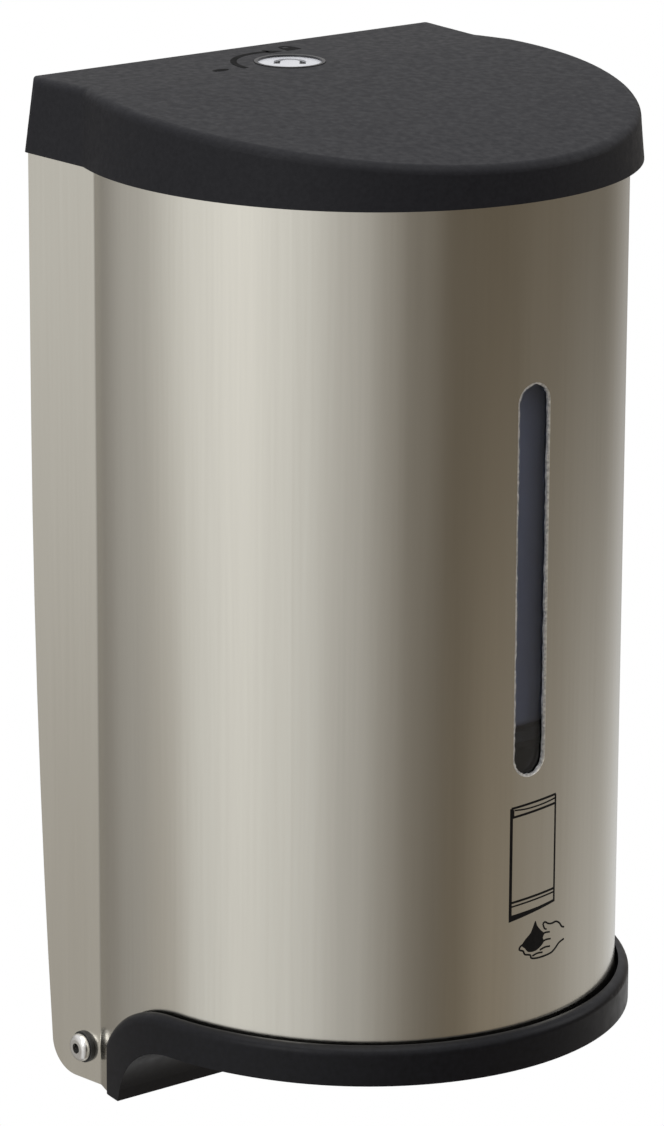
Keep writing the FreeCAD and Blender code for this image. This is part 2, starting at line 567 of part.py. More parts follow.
def base_trim():
    outside = new_body("trim_outside")
    plan = outline(outside, "trim_plan", "trim_foot_level", "trim")
    pad(outside, "trim_wall", plan, "trim_top_level - trim_foot_level")
    beyond = "-front_centre_depth - side_radius - 10"
    below = "trim_foot_level - 5"
    arch_end = "trim_floor_level - arch_radius + sqrt(arch_radius ^ 2 - (arch_depth - arch_leg_depth) ^ 2)"
    arch = [
        (beyond, "trim_floor_level"),
        ("-arch_depth", "trim_floor_level"),
        ("-arch_leg_depth", arch_end),
        ("-leg_front_depth", "trim_foot_level"),
        ("-leg_front_depth", below),
        (beyond, below),
    ]
    pocket(outside, "arch", side_profile(outside, "arch_line", arch, {1: ("arch_radius", -1)}))
    shoulder_rise = "sqrt(shoulder_radius ^ 2 - (shoulder_depth - trim_rear_depth) ^ 2)"
    shoulder_end = f"trim_top_level - shoulder_radius + {shoulder_rise}"
    shoulder = [
        ("-shoulder_depth", "trim_top_level"),
        ("-trim_rear_depth", shoulder_end),
        ("-trim_rear_depth + 5", shoulder_end),
        ("-trim_rear_depth + 5", "trim_top_level + 5"),
        ("-shoulder_depth", "trim_top_level + 5"),
    ]
    pocket(outside, "shoulder", side_profile(outside, "shoulder_line", shoulder, {0: ("shoulder_radius", -1)}))

    inside = new_body("trim_inside")
    hollow = outline(inside, "trim_hollow_plan", "trim_foot_level", "trim_in")
    pad(inside, "trim_hollow", hollow, "trim_top_level - trim_foot_level + 1")
    inner = "(arch_radius + trim_skin)"
    inner_rise = f"sqrt({inner} ^ 2 - (arch_depth - arch_leg_depth + trim_skin) ^ 2)"
    inner_end = f"trim_floor_level - arch_radius + {inner_rise}"
    skin = [
        (beyond, "trim_floor_level + trim_skin"),
        ("-arch_depth", "trim_floor_level + trim_skin"),
        ("-arch_leg_depth + trim_skin", inner_end),
        ("-leg_front_depth + trim_skin", "trim_foot_level"),
        ("-leg_front_depth + trim_skin", below),
        (beyond, below),
    ]
    pocket(inside, "skin", side_profile(inside, "skin_line", skin, {1: (inner, -1)}))

    def rim_edge(edge, middle):
        level = middle.z > SIZES["trim_top_level"] - 0.01
        return level and middle.y < -SIZES["shoulder_depth"] + 2

    def heel_edge(edge, middle):
        low = middle.z < SIZES["trim_foot_level"] + 0.01
        return low and abs(middle.y + SIZES["trim_rear_depth"]) < 0.01

    rim = rounded("trim_rim", outside, "trim_edge_radius", rim_edge)
    soft = rounded("trim_soft", rim, "heel_radius", heel_edge)
    floor = "trim_floor_level + trim_skin"
    bosses = drilled("trim_boss", "z", "boss_radius", LOW_BOSSES, (floor, "low_tab_level"))
    pilots = drilled("trim_pilot", "z", "screw_radius", LOW_BOSSES,
                     ("trim_floor_level + 0.8", "low_tab_level + 1"))
    through = ("trim_floor_level - 5", "trim_floor_level + 6")
    spout = rod("nozzle_hole", "z", "nozzle_hole_radius", ("0", "-spout_depth"), through)
    eye_y = ("-eye_depth - eye_half_y", "-eye_depth + eye_half_y")
    eye = box("eye_hole", ("-eye_half_x", "eye_half_x"), eye_y, through)
    tray = fuse("trim_blank", cut("trim_shell", soft, inside), *bosses)
    subpart(cut("base_trim_solid", tray, spout, eye, *pilots), "base_trim")


def window():
    band = ("slot_low_level - lens_margin", "slot_high_level + lens_margin")
    width = ("-lens_half_width", "lens_half_width")
    centre = ("0", FRONT_CENTRE)
    reach = ("-front_centre_depth - front_radius", FRONT_CENTRE)
    lens = ring("lens_ring", "z", "lens_outer_radius", "lens_outer_radius - lens_thickness", centre, band)
    subpart(common("window_lens_solid", lens, box("lens_zone", width, reach, band)), "window_lens")
    tape = ring("tape_ring", "z", "front_radius - sheet_thickness", "lens_outer_radius", centre, band)
    strip = common("tape_strip", tape, box("tape_zone", width, reach, band))
    gap = box("tape_gap", ("-slot_width / 2 - 1", "slot_width / 2 + 1"), reach,
              ("slot_low_level - 1", "slot_high_level + 1"))
    subpart(cut("window_tape_solid", strip, gap), "window_tape")


def lock():
    rest = ("lock_rest_level", "lock_flange_level")
    flange = rod("lock_flange", "z", "lock_flange_radius", LOCK, rest)
    barrel = rod("lock_body", "z", "lock_body_radius", LOCK, ("lock_foot_level", "lock_flange_level"))
    mouth = rod("lock_mouth", "z", "lock_bore_radius", LOCK, ("plug_head_level - 0.1", "lock_flange_level + 1"))
    bore = rod("lock_bore", "z", "plug_stem_bore", LOCK, ("lock_foot_level - 1", "lid_top_level"))
    subpart(cut("lock_barrel_solid", fuse("lock_blank", flange, barrel), mouth, bore), "lock_barrel")

    nut_x = ("-lock_nut_half", "lock_nut_half")
    nut_y = ("-lock_depth - lock_nut_half", "-lock_depth + lock_nut_half")
    nut_top = "lid_top_level - lid_wall - 0.1"
    nut_z = (f"{nut_top} - lock_nut_thickness", nut_top)
    nut = box("nut_block", nut_x, nut_y, nut_z)
    square = rounded("nut_round", nut, "lock_nut_corner", lambda edge, middle: abs(edge.tangentAt(0).z) > 0.9)
    hole = rod("nut_hole", "z", "lock_body_radius", LOCK, (f"{nut_z[0]} - 1", f"{nut_z[1]} + 1"))
    subpart(cut("lock_nut_solid", square, hole), "lock_nut")

    head = rod("plug_head", "z", "plug_radius", LOCK, ("plug_head_level", "plug_top_level"))
    stem = rod("plug_stem", "z", "plug_stem_radius", LOCK, ("cam_level + cam_thickness", "plug_head_level"))
    square_x = ("-cam_square_half", "cam_square_half")
    square_y = ("-lock_depth - cam_square_half", "-lock_depth + cam_square_half")
    drive = box("plug_drive", square_x, square_y, ("cam_level", "cam_level + cam_thickness"))
    deep = ("plug_top_level - key_pocket", "plug_top_level + 1")
    arch = ring("key_arch", "z", "key_radius + key_width / 2", "key_radius - key_width / 2",
                ("0", "-lock_depth + key_leg / 2"), deep)
    upper = box("key_upper", ("-plug_radius", "plug_radius"),
                ("-lock_depth + key_leg / 2", "-lock_depth + plug_radius"), deep)
    legs = []
    leg_y = ("-lock_depth - key_leg / 2", "-lock_depth + key_leg / 2")
    for side, sign in SIDES:
        span = sided(sign, "key_radius - key_width / 2", "key_radius + key_width / 2")
        legs.append(box(f"key_leg_{side}", span, leg_y, deep))
    keyway = fuse("keyway", common("key_top", arch, upper), *legs)
    axis = Vector(0, -SIZES["lock_depth"], 0)
    keyway.Placement = FreeCAD.Placement(Vector(), FreeCAD.Rotation(Vector(0, 0, 1), SIZES["key_turn"]), axis)
    thread = rod("plug_thread", "z", "screw_radius", LOCK, ("cam_level - 1", "cam_level + 6"))
    subpart(cut("lock_plug_solid", fuse("plug_blank", head, stem, drive), keyway, thread), "lock_plug")

    cam_z = ("cam_level", "cam_level + cam_thickness")
    disc = rod("cam_disc", "z", "plug_stem_radius", LOCK, cam_z)
    arm_y = ("-lock_depth", "-lock_depth + cam_reach")
    arm = box("cam_arm", ("-cam_half_width", "cam_half_width"), arm_y, cam_z)
    eye = box("cam_eye", square_x, square_y, cam_z)
    subpart(cut("lock_cam_solid", fuse("cam_blank", disc, arm), eye), "lock_cam")
    subpart(screw("lock_cam_screw_solid", "z", LOCK, "cam_level - screw_head_height", "cam_level + 5.8"),
            "lock_cam_screw")


def cover_fasteners():
    lid_tip = "tab_level + lid_screw_length"
    upper = [screw(f"lid_screw{number}", "z", centre, "tab_level - screw_head_height", lid_tip)
             for number, centre in enumerate(TOP_BOSSES)]
    tab_top = "low_tab_level + tab_thickness"
    lower = [screw(f"trim_screw{number}", "z", centre, f"{tab_top} + screw_head_height", "trim_floor_level + 1")
             for number, centre in enumerate(LOW_BOSSES)]
    subpart(group("cover_screw_set", *upper, *lower), "cover_screws")


def sensor_window():
    floor = "trim_floor_level + trim_skin"
    centre = "-eye_depth"
    plug_y = (f"{centre} - eye_half_y + 0.1", f"{centre} + eye_half_y - 0.1")
    plug = box("eye_plug", ("-eye_half_x + 0.1", "eye_half_x - 0.1"), plug_y, ("trim_floor_level + 0.3", floor))
    brim = box("eye_brim", ("-eye_half_x - 2", "eye_half_x + 2"),
               (f"{centre} - eye_half_y - 2", f"{centre} + eye_half_y + 2"), (floor, f"{floor} + 1"))
    subpart(fuse("sensor_window_solid", plug, brim), "sensor_window")


# ---------------------------------------------------------------- hinge

def hinges():
    bushes = []
    screws = []
    inserts = []
    for side, sign in SIDES:
        body_x = sided(sign, "bush_in_half", "bush_flange_half")
        body = rod(f"bush_body_{side}", "x", "bush_radius", PIN, body_x)
        flange = rod(f"bush_flange_{side}", "x", "bush_flange_radius", PIN,
                     sided(sign, "bush_seat_half", "bush_flange_half"))
        bore_x = sided(sign, "ear_in_half", "bush_flange_half + 2")
        bore = rod(f"bush_bore_{side}", "x", "bush_bore_radius", PIN, bore_x)
        bushes.append(cut(f"bush_{side}", fuse(f"bush_blank_{side}", body, flange), bore))
        head_end = f"{sign} * (bush_flange_half + head_gap + head_height)"
        face = reading(head_end)
        blank = screw(f"hinge_screw_{side}", "x", PIN, head_end, f"{sign} * (ear_in_half + 1)", HINGE_SCREW)
        rim = math.pi * 2 * SIZES["head_radius"] - 0.1
        screws.append(rounded(f"hinge_screw_dome_{side}", blank, "head_dome",
                              lambda edge, middle: abs(middle.x - face) < 0.01 and edge.Length > rim))
        span = sided(sign, "ear_in_half", "ear_face_half")
        inserts.append(ring(f"insert_{side}", "x", "insert_radius", "pin_radius", PIN, span))
    subpart(group("bush_set", *bushes), "hinge_bushings")
    subpart(group("hinge_screw_set", *screws), "hinge_screws")
    subpart(group("insert_set", *inserts), "hinge_inserts")


# ---------------------------------------------------------------- wall chassis

FIXINGS = [(f"{x} * fixing_half_x", f"{z} * fixing_half_z") for x, z in CORNERS]
BOARD_MIDDLE = "(board_low_level + board_high_level) / 2"
BOARD_FIXINGS = [(f"{x} * (board_half - 4)", f"{BOARD_MIDDLE} + {z} * board_fixing_half_z") for x, z in CORNERS]
KEEPER_FIXINGS = [("keeper_hole_x", "plate_top_level - 6"), ("keeper_hole_x", "plate_top_level - 14")]
SHELF_FIXINGS = [(f"{x} * shelf_fixing_half", "flange_foot_level + 9") for x in (-1, 1)]
SPOUT = ("0", "-spout_depth")
NECK = ("0", "-neck_depth")
CHASSIS_SCREWS = []


def back_plate():
    face = "-plate_thickness"
    rise = ("plate_foot_level", "plate_top_level")
    width = ("-plate_half", "plate_half")
    pieces = [box("plate_panel", width, (face, "0"), rise)]
    ear_y = ("-pin_depth - ear_radius", "-pin_depth + ear_radius")
    link_z = ("sill_level - plate_thickness", "ear_top_level")
    for side, sign in SIDES:
        edge = sided(sign, "plate_half - rim_width", "plate_half")
        pieces.append(box(f"plate_rim_{side}", edge, ("-rim_depth", "0"), rise))
        ear_x = sided(sign, "ear_in_half", "ear_face_half")
        pieces.append(rod(f"ear_end_{side}", "x", "ear_radius", PIN, ear_x))
        pieces.append(box(f"ear_drop_{side}", ear_x, ear_y, ("pin_level", "ear_top_level")))
        link_x = sided(sign, "ear_in_half", "plate_half")
        pieces.append(box(f"ear_link_{side}", link_x, ("-pin_depth - ear_radius", "0"), link_z))
    rim_z = ("plate_top_level - rim_width", "plate_top_level")
    pieces.append(box("plate_top_rim", width, ("-rim_depth", "0"), rim_z))
    sill = ("sill_level - plate_thickness", "sill_level")
    pieces.append(box("plate_sill", ("-ear_in_half", "ear_in_half"), ("-sill_depth", "0"), sill))
    pieces += drilled("fixing_pad", "y", "fixing_pad_radius", FIXINGS, ("-fixing_pad_depth", "0"))
    pieces += drilled("board_post", "y", "board_post_radius", BOARD_FIXINGS, ("-board_rear_depth", "0"))
    holes = drilled("fixing_hole", "y", "fixing_radius", FIXINGS, ("-fixing_pad_depth - 1", "1"))
    for fixings in (BOARD_FIXINGS, KEEPER_FIXINGS, SHELF_FIXINGS):
        ends = ("-thread_depth", "-thread_floor_depth")
        holes += drilled(f"thread{len(holes)}_", "y", "screw_radius", fixings, ends)
    for side, sign in SIDES:
        insert_x = sided(sign, "ear_in_half - 1", "ear_face_half + 1")
        holes.append(rod(f"insert_hole_{side}", "x", "insert_radius", PIN, insert_x))
    subpart(cut("back_plate_solid", fuse("plate_blank", *pieces), *holes), "back_plate")


def keeper():
    rise = ("keeper_foot_level", "plate_top_level - rim_width - 0.5")
    face = "-plate_thickness"
    front = "-keeper_front_depth"
    lip_top = "cam_level + 3"
    arm_x = ("keeper_arm_low_x", "keeper_arm_high_x")
    base = box("keeper_base", ("keeper_low_x", "keeper_high_x"), (f"{face} - keeper_sheet", face), rise)
    arm = box("keeper_arm", arm_x, (front, face), rise)
    riser = box("keeper_riser", arm_x, (front, "-keeper_riser_depth"), ("keeper_foot_level", lip_top))
    lip = box("keeper_lip", ("keeper_lip_x", "keeper_arm_high_x"), (front, f"{front} + keeper_lip_width"),
              ("cam_level - 6", lip_top))
    holes = drilled("keeper_hole", "y", "tab_hole_radius", KEEPER_FIXINGS, ("-thread_depth", "1"))
    subpart(cut("keeper_solid", fuse("keeper_blank", base, arm, riser, lip), *holes), "latch_keeper")
    head_end = f"{face} - keeper_sheet - screw_head_height"
    screws = [screw(f"keeper_screw{number}", "y", place, head_end, "-thread_floor_depth - 0.2")
              for number, place in enumerate(KEEPER_FIXINGS)]
    CHASSIS_SCREWS.extend(screws)


BOX_MIDDLE = "(box_low_x + box_high_x) / 2"
MODULE_FIXINGS = [("-pump_wall / 2", "-pump_front_depth + 3"), (BOX_MIDDLE, "-box_rear_depth - 9"),
                  (BOX_MIDDLE, "-box_front_depth + 7")]


def shelf():
    top = "shelf_level + shelf_thickness"
    level = ("shelf_level", top)
    tray = solid_outline("shelf_tray", "tank", "shelf_level", top)
    face = "-plate_thickness"
    rise = ("flange_foot_level", top)
    joint = box("shelf_joint", ("-shelf_half", "shelf_half"), ("-tank_rear_depth - 6", face), level)
    flange = box("shelf_flange", ("-web_half", "web_half"), ("-flange_depth", face), rise)
    pieces = [tray, joint, flange]
    for side, sign in SIDES:
        web_x = sided(sign, "web_half - 2", "web_half")
        pieces.append(box(f"shelf_web_{side}", web_x, ("-web_depth", face), rise))
    through = ("shelf_level - 1", f"{top} + 1")
    spout = rod("shelf_spout_hole", "z", "spout_radius + 3", SPOUT, through)
    wire = rod("shelf_wire_hole", "z", "wire_hole_radius", ("wire_hole_x", "-wire_hole_depth"), through)
    heads = drilled("shelf_head", "z", "screw_head_radius + 0.2", MODULE_FIXINGS,
                    (f"{top} - screw_head_height", f"{top} + 1"))
    stems = drilled("shelf_stem", "z", "tab_hole_radius", MODULE_FIXINGS, ("shelf_level - 1", top))
    holes = drilled("shelf_hole", "y", "tab_hole_radius", SHELF_FIXINGS, ("-thread_depth", "1"))
    subpart(cut("shelf_solid", fuse("shelf_blank", *pieces), spout, wire, *heads, *stems, *holes), "shelf")
    head_end = "-flange_depth - screw_head_height"
    screws = [screw(f"shelf_screw{number}", "y", place, head_end, "-thread_floor_depth - 0.2")
              for number, place in enumerate(SHELF_FIXINGS)]
    CHASSIS_SCREWS.extend(screws)
    fixings = [screw(f"module_screw{number}", "z", place, top, "box_top_level + 1")
               for number, place in enumerate(MODULE_FIXINGS)]
    CHASSIS_SCREWS.extend(fixings)


# ---------------------------------------------------------------- soap tank

def reservoir():
    outside = solid_outline("tank_outside", "tank", "tank_foot_level", "tank_top_level")
    soft = rounded("tank_soft", outside, "tank_corner_radius", lambda edge, middle: True)
    floor = "tank_foot_level + tank_wall"
    inside = solid_outline("tank_inside", "tank_in", floor, "tank_top_level - tank_wall")
    neck = rod("tank_neck", "z", "neck_radius", NECK, ("tank_top_level - 1", "neck_top_level"))
    spout = rod("tank_spout", "z", "spout_radius", SPOUT, ("spout_foot_level", "tank_foot_level + 1"))
    mouth = rod("tank_mouth", "z", "neck_bore_radius", NECK, ("tank_top_level - 5", "neck_top_level + 1"))
    outlet = rod("tank_outlet", "z", "spout_bore_radius", SPOUT,
                 ("spout_foot_level - 1", "tank_foot_level + 5"))
    subpart(cut("tank_solid", fuse("tank_blank", soft, neck, spout), inside, mouth, outlet), "reservoir")

    skirt = rod("cap_skirt", "z", "cap_radius", NECK, ("cap_level", "cap_top_level"))
    seal_top = "neck_top_level + 0.1 + cap_seal_height"
    hollow = rod("cap_hollow", "z", "cap_in_radius", NECK, ("cap_level - 1", seal_top))
    grip = box("cap_grip", ("-cap_radius * 0.7", "cap_radius * 0.7"),
               ("-neck_depth - cap_grip_half", "-neck_depth + cap_grip_half"),
               ("cap_top_level - 1", "cap_top_level + cap_grip_height"))
    vent = rod("cap_vent", "z", "1", ("cap_vent_x", "-cap_vent_depth"), ("neck_top_level", "cap_top_level + 1"))
    notches = []
    for turn in range(0, 360, 30):
        spot = (f"cap_notch_orbit * cos({turn})", f"-neck_depth + cap_notch_orbit * sin({turn})")
        notch_z = ("cap_level - 1", "cap_top_level - 2")
        notches.append(rod(f"cap_notch{turn}_", "z", "cap_notch_radius", spot, notch_z))
    subpart(cut("cap_solid", fuse("cap_blank", skirt, grip), hollow, vent, *notches), "reservoir_cap")
    seal = ring("cap_seal_solid", "z", "neck_radius - 0.2", "neck_bore_radius + 0.3", NECK,
                ("neck_top_level + 0.1", seal_top))
    subpart(seal, "cap_seal")


def outlet_valve():
    seat_low = "spout_foot_level + 1"
    seat_top = f"{seat_low} + seat_height"
    subpart(ring("valve_seat_solid", "z", "spout_bore_radius", "seat_bore_radius", SPOUT, (seat_low, seat_top)),
            "valve_seat")
    disc_top = f"{seat_top} + poppet_height"
    disc = rod("poppet_disc", "z", "poppet_radius", SPOUT, (seat_top, disc_top))
    stem = rod("poppet_stem", "z", "poppet_stem_radius", SPOUT,
               ("spout_foot_level + 0.5", "tank_foot_level + 1.5"))
    subpart(fuse("poppet_solid", disc, stem), "valve_poppet")
    cage = ring("cage_ring", "z", "spout_bore_radius", "cage_bore_radius", SPOUT,
                ("cage_low_level", "cage_low_level + cage_height"))
    ports = []
    for turn in (0, 120, 240):
        spot = (f"port_orbit * cos({turn})", f"-spout_depth + port_orbit * sin({turn})")
        port_z = ("cage_low_level - 1", "cage_low_level + 3")
        ports.append(rod(f"cage_port{turn}_", "z", "port_radius", spot, port_z))
    subpart(cut("cage_solid", cage, *ports), "valve_cage")

    wire = SIZES["spring_wire"]
    coil = SIZES["spring_radius"]
    foot = reading(disc_top) + wire
    height = SIZES["cage_low_level"] - wire - foot
    turns = 3.5
    steps = 28
    spots = []
    for step in range(steps + 1):
        turn = 2 * math.pi * turns * step / steps
        spots.append(Vector(coil * math.cos(turn), coil * math.sin(turn), height * step / steps))
    arcs = [Part.Arc(*spots[first:first + 3]).toShape() for first in range(0, steps, 2)]
    spring = tube_along(Part.Wire(arcs), wire)
    subpart(made("spring_solid", spring, Vector(0, -SIZES["spout_depth"], foot)), "valve_spring")


def outlet_socket():
    floor = "spout_foot_level - 1"
    outer = "spout_radius + socket_wall"
    body = rod("socket_body", "z", outer, SPOUT, (f"{floor} - socket_floor", "shelf_level + shelf_thickness"))
    well = rod("socket_well", "z", "spout_radius + 0.1", SPOUT, (floor, "shelf_level + 5"))
    inlet = rod("socket_inlet", "z", "tube_radius + 0.05", SPOUT, (f"{floor} - 4", f"{floor} + 1"))
    flat_y = (f"-spout_depth - ({outer})", f"-spout_depth + {outer}")
    flat = box("socket_flat", ("box_low_x - 0.1", f"{outer} + 1"), flat_y,
               (f"{floor} - 4", "box_top_level + 0.2"))
    subpart(cut("socket_solid", body, well, inlet, flat), "outlet_socket")
    subpart(ring("socket_seal_solid", "z", "spout_radius - 0.2", "4", SPOUT, (floor, "spout_foot_level")),
            "socket_seal")


# ---------------------------------------------------------------- pump

ROTOR = ("-rotor_depth", "rotor_level")
PUMP_CORNERS = [("-pump_front_depth + 3", "pump_top_level - 3"),
                ("-pump_front_depth + 3", "pump_foot_level + 3"),
                ("-pump_rear_depth - 3", "pump_foot_level + 3"),
                ("-pump_rear_depth - 3", "pump_top_level - 3")]
EYE_POSTS = [("eye_post_x", "-eye_depth - eye_post_spread"), ("eye_post_x", "-eye_depth + eye_post_spread")]


def pump_case():
    depth = ("-pump_front_depth", "-pump_rear_depth")
    rise = ("pump_foot_level", "pump_top_level")
    block = box("pump_block", ("-pump_half - pump_wall", "pump_half"), depth, rise)
    post = box("pump_post", ("-pump_half - pump_wall", "pump_half"),
               ("-pump_front_depth", "-pump_front_depth + 6"), ("pump_top_level", "shelf_level"))
    eye_posts = drilled("eye_post", "z", "eye_post_radius", EYE_POSTS,
                        ("eye_board_level + board_thickness", "pump_foot_level"))
    chamber = rod("chamber", "x", "track_radius", ROTOR, ("-pump_half", "pump_half + 1"))
    channel = box("channel", ("-pump_half", "pump_half + 1"),
                  ("-rotor_depth", "-spout_depth + tube_radius + tube_room"),
                  ("rotor_level - channel_rise", "rotor_level + channel_rise"))
    lead = rod("tube_hole", "z", "tube_radius + 0.05", SPOUT, ("pump_foot_level - 1", "pump_top_level + 1"))
    bearing = rod("pump_bearing", "x", "shaft_bore_radius", ROTOR, ("-pump_half - 1.5", "pump_half"))
    threads = drilled("pump_thread", "x", "screw_radius", PUMP_CORNERS, ("-pump_half + 3", "pump_half + 1"))
    post_z = ("box_top_level", "shelf_level + 1")
    threads.append(rod("post_thread", "z", "screw_radius", MODULE_FIXINGS[0], post_z))
    threads += drilled("eye_thread", "z", "screw_radius * 0.8", EYE_POSTS,
                       ("eye_board_level", "pump_foot_level"))
    body = fuse("pump_blank", block, post, *eye_posts)
    subpart(cut("pump_housing_solid", body, chamber, channel, lead, bearing, *threads), "pump_housing")

    plate = box("pump_plate_block", ("pump_half", "pump_half + pump_wall"), depth, rise)
    shaft_hole = rod("plate_bearing", "x", "shaft_bore_radius", ROTOR, ("pump_half - 1", "pump_half + 5"))
    heads = drilled("plate_head", "x", "screw_head_radius", PUMP_CORNERS, ("pump_half - 1", "pump_half + 5"))
    subpart(cut("pump_plate_solid", plate, shaft_hole, *heads), "pump_plate")
    screws = [screw(f"pump_screw{number}", "x", place, "pump_half + pump_wall", "pump_half - 3.5")
              for number, place in enumerate(PUMP_CORNERS)]
    CHASSIS_SCREWS.extend(screws)


def pump_rotor():
    cheeks = [rod(f"cheek_{side}", "x", "cheek_radius", ROTOR, sided(sign, "cheek_in", "cheek_out"))
              for side, sign in SIDES]
    hub = rod("rotor_hub", "x", "hub_radius", ROTOR, ("-cheek_out", "cheek_out"))
    bore = rod("rotor_bore", "x", "shaft_radius", ROTOR, ("-cheek_out - 1", "cheek_out + 1"))
    axes = [(f"-rotor_depth + roller_orbit * cos({turn})", f"rotor_level + roller_orbit * sin({turn})")
            for turn in (90, 210, 330)]
    holes = drilled("roller_pin_hole", "x", "roller_pin_radius", axes, ("-cheek_out - 1", "cheek_out + 1"))
    subpart(cut("pump_rotor_solid", fuse("rotor_blank", hub, *cheeks), bore, *holes), "pump_rotor")
    pins = drilled("roller_pin", "x", "roller_pin_radius", axes, ("-cheek_out", "cheek_out"))
    subpart(group("roller_pin_set", *pins), "roller_pins")
    for number, axis in enumerate(axes, start=1):
        roller = ring(f"roller_{number}_solid", "x", "roller_radius", "roller_bore_radius", axis,
                      ("-roller_half", "roller_half"))
        subpart(roller, f"roller_{number}")
    ends = ("-pump_half - 1.4", "box_high_x + 1")
    subpart(rod("rotor_shaft_solid", "x", "shaft_radius", ROTOR, ends), "rotor_shaft")


def tube_path(points, radii):
    """Straight runs joined by tangent arcs; one radius for each inner point."""
    edges = []
    start = points[0]
    for before, corner, after, radius in zip(points, points[1:], points[2:], radii):
        inward = (before - corner).normalize()
        outward = (after - corner).normalize()
        half = inward.getAngle(outward) / 2
        back = radius / math.tan(half)
        enter = corner + inward * back
        leave = corner + outward * back
        middle = corner + (inward + outward).normalize() * (radius / math.sin(half) - radius)
        if (enter - start).Length > 1e-6:
            edges.append(Part.LineSegment(start, enter).toShape())
        edges.append(Part.Arc(enter, middle, leave).toShape())
        start = leave
    edges.append(Part.LineSegment(start, points[-1]).toShape())
    return Part.Wire(edges)


def tube_along(path, radius):
    """Round solid swept along a path, checked against its section times its length."""
    start = path.Edges[0].valueAt(path.Edges[0].FirstParameter)
    towards = path.Edges[0].tangentAt(path.Edges[0].FirstParameter)
    circle = Part.Wire([Part.Circle(start, towards, radius).toShape()])
    solid = path.makePipeShell([circle], True, False)
    expected = math.pi * radius ** 2 * path.Length
    if abs(solid.Volume / expected - 1) > 0.02:
        sys.exit("a tube's volume is not its section times its length")
    return solid


def pump_tube():
    size = SIZES
    depth = -size["spout_depth"]
    orbit = size["tube_centre_radius"]
    upper = size["rotor_level"] + orbit
    lower = size["rotor_level"] - orbit
    front = -size["rotor_depth"] - orbit
    points = [Vector(0, depth, size["tube_top_level"]), Vector(0, depth, upper), Vector(0, front, upper),
              Vector(0, front, lower), Vector(0, depth, lower), Vector(0, depth, size["tube_foot_level"])]
    bend = size["tube_bend_radius"]
    path = tube_path(points, [bend, orbit - 0.01, orbit - 0.01, bend])
    outer = tube_along(path, size["tube_radius"])
    inner = tube_along(path, size["tube_bore_radius"])
    subpart(made("pump_tube_solid", outer.cut(inner)), "pump_tube")


def nozzle():
    flange = rod("nozzle_flange", "z", "8", SPOUT, ("pump_foot_level - 3", "pump_foot_level"))
    body = rod("nozzle_body", "z", "nozzle_radius", SPOUT, ("nozzle_tip_level + 2", "pump_foot_level"))
    tip = rod("nozzle_tip", "z", "nozzle_radius - 1.6", SPOUT, ("nozzle_tip_level", "nozzle_tip_level + 2"),
              top_radius="nozzle_radius")
    bore = rod("nozzle_bore", "z", "tube_bore_radius", SPOUT, ("nozzle_tip_level - 1", "pump_foot_level"))
    grip = rod("nozzle_socket", "z", "tube_radius + 0.05", SPOUT, ("tube_foot_level", "pump_foot_level + 1"))
    subpart(cut("nozzle_solid", fuse("nozzle_blank", flange, body, tip), bore, grip), "nozzle")


# ---------------------------------------------------------------- gearbox and motor

FIRST_REACH = "gear_module * (rotor_teeth + idler_pinion_teeth) / 2"
SECOND_REACH = "gear_module * (idler_teeth + motor_teeth) / 2"
IDLER = (f"-rotor_depth + {FIRST_REACH} * cos(gear_bend_angle)",
         f"rotor_level + {FIRST_REACH} * sin(gear_bend_angle)")
MOTOR = (f"{IDLER[0]} + {SECOND_REACH} * cos(gear_bend_angle)",
         f"{IDLER[1]} - {SECOND_REACH} * sin(gear_bend_angle)")
BOX_CORNERS = [("-box_front_depth + 5", "box_top_level - 5"), ("-box_front_depth + 5", "box_foot_level + 5"),
               ("-box_rear_depth - 5", "box_foot_level + 5"), ("-box_rear_depth - 5", "box_top_level - 5")]


def gear_shape(teeth, axis, start_x, width, facing, bore):
    """Spur gear on an axis along X with one tooth centred on the angle facing, in degrees."""
    module = SIZES["gear_module"]
    pitch = module * teeth / 2
    base = pitch * math.cos(math.radians(20))
    tip = pitch + 0.9 * module
    root = pitch - 1.2 * module
    involute = math.tan(math.radians(20)) - math.radians(20)
    half = math.pi / (2 * teeth) - SIZES["gear_backlash"] / (2 * pitch) + involute
    flank = []
    low = max(base, root)
    for step in range(5):
        radius = low + (tip - low) * step / 4
        lean = math.acos(min(1.0, base / radius))
        flank.append((radius, half - (math.tan(lean) - lean)))
    points = []
    for tooth in range(teeth):
        middle = math.radians(facing) + 2 * math.pi * tooth / teeth
        left = [(root, -half)] + [(radius, -turn) for radius, turn in flank]
        right = [(radius, turn) for radius, turn in reversed(flank)] + [(root, half)]
        for radius, turn in left + right:
            angle = middle + turn
            spot = Vector(start_x, axis[0] + radius * math.cos(angle), axis[1] + radius * math.sin(angle))
            if not points or (spot - points[-1]).Length > 1e-4:
                points.append(spot)
    points.append(points[0])
    blank = Part.Face(Part.makePolygon(points)).extrude(Vector(width, 0, 0))
    hole = Part.makeCylinder(bore, width + 2, Vector(start_x - 1, *axis), Vector(1, 0, 0))
    return blank.cut(hole)


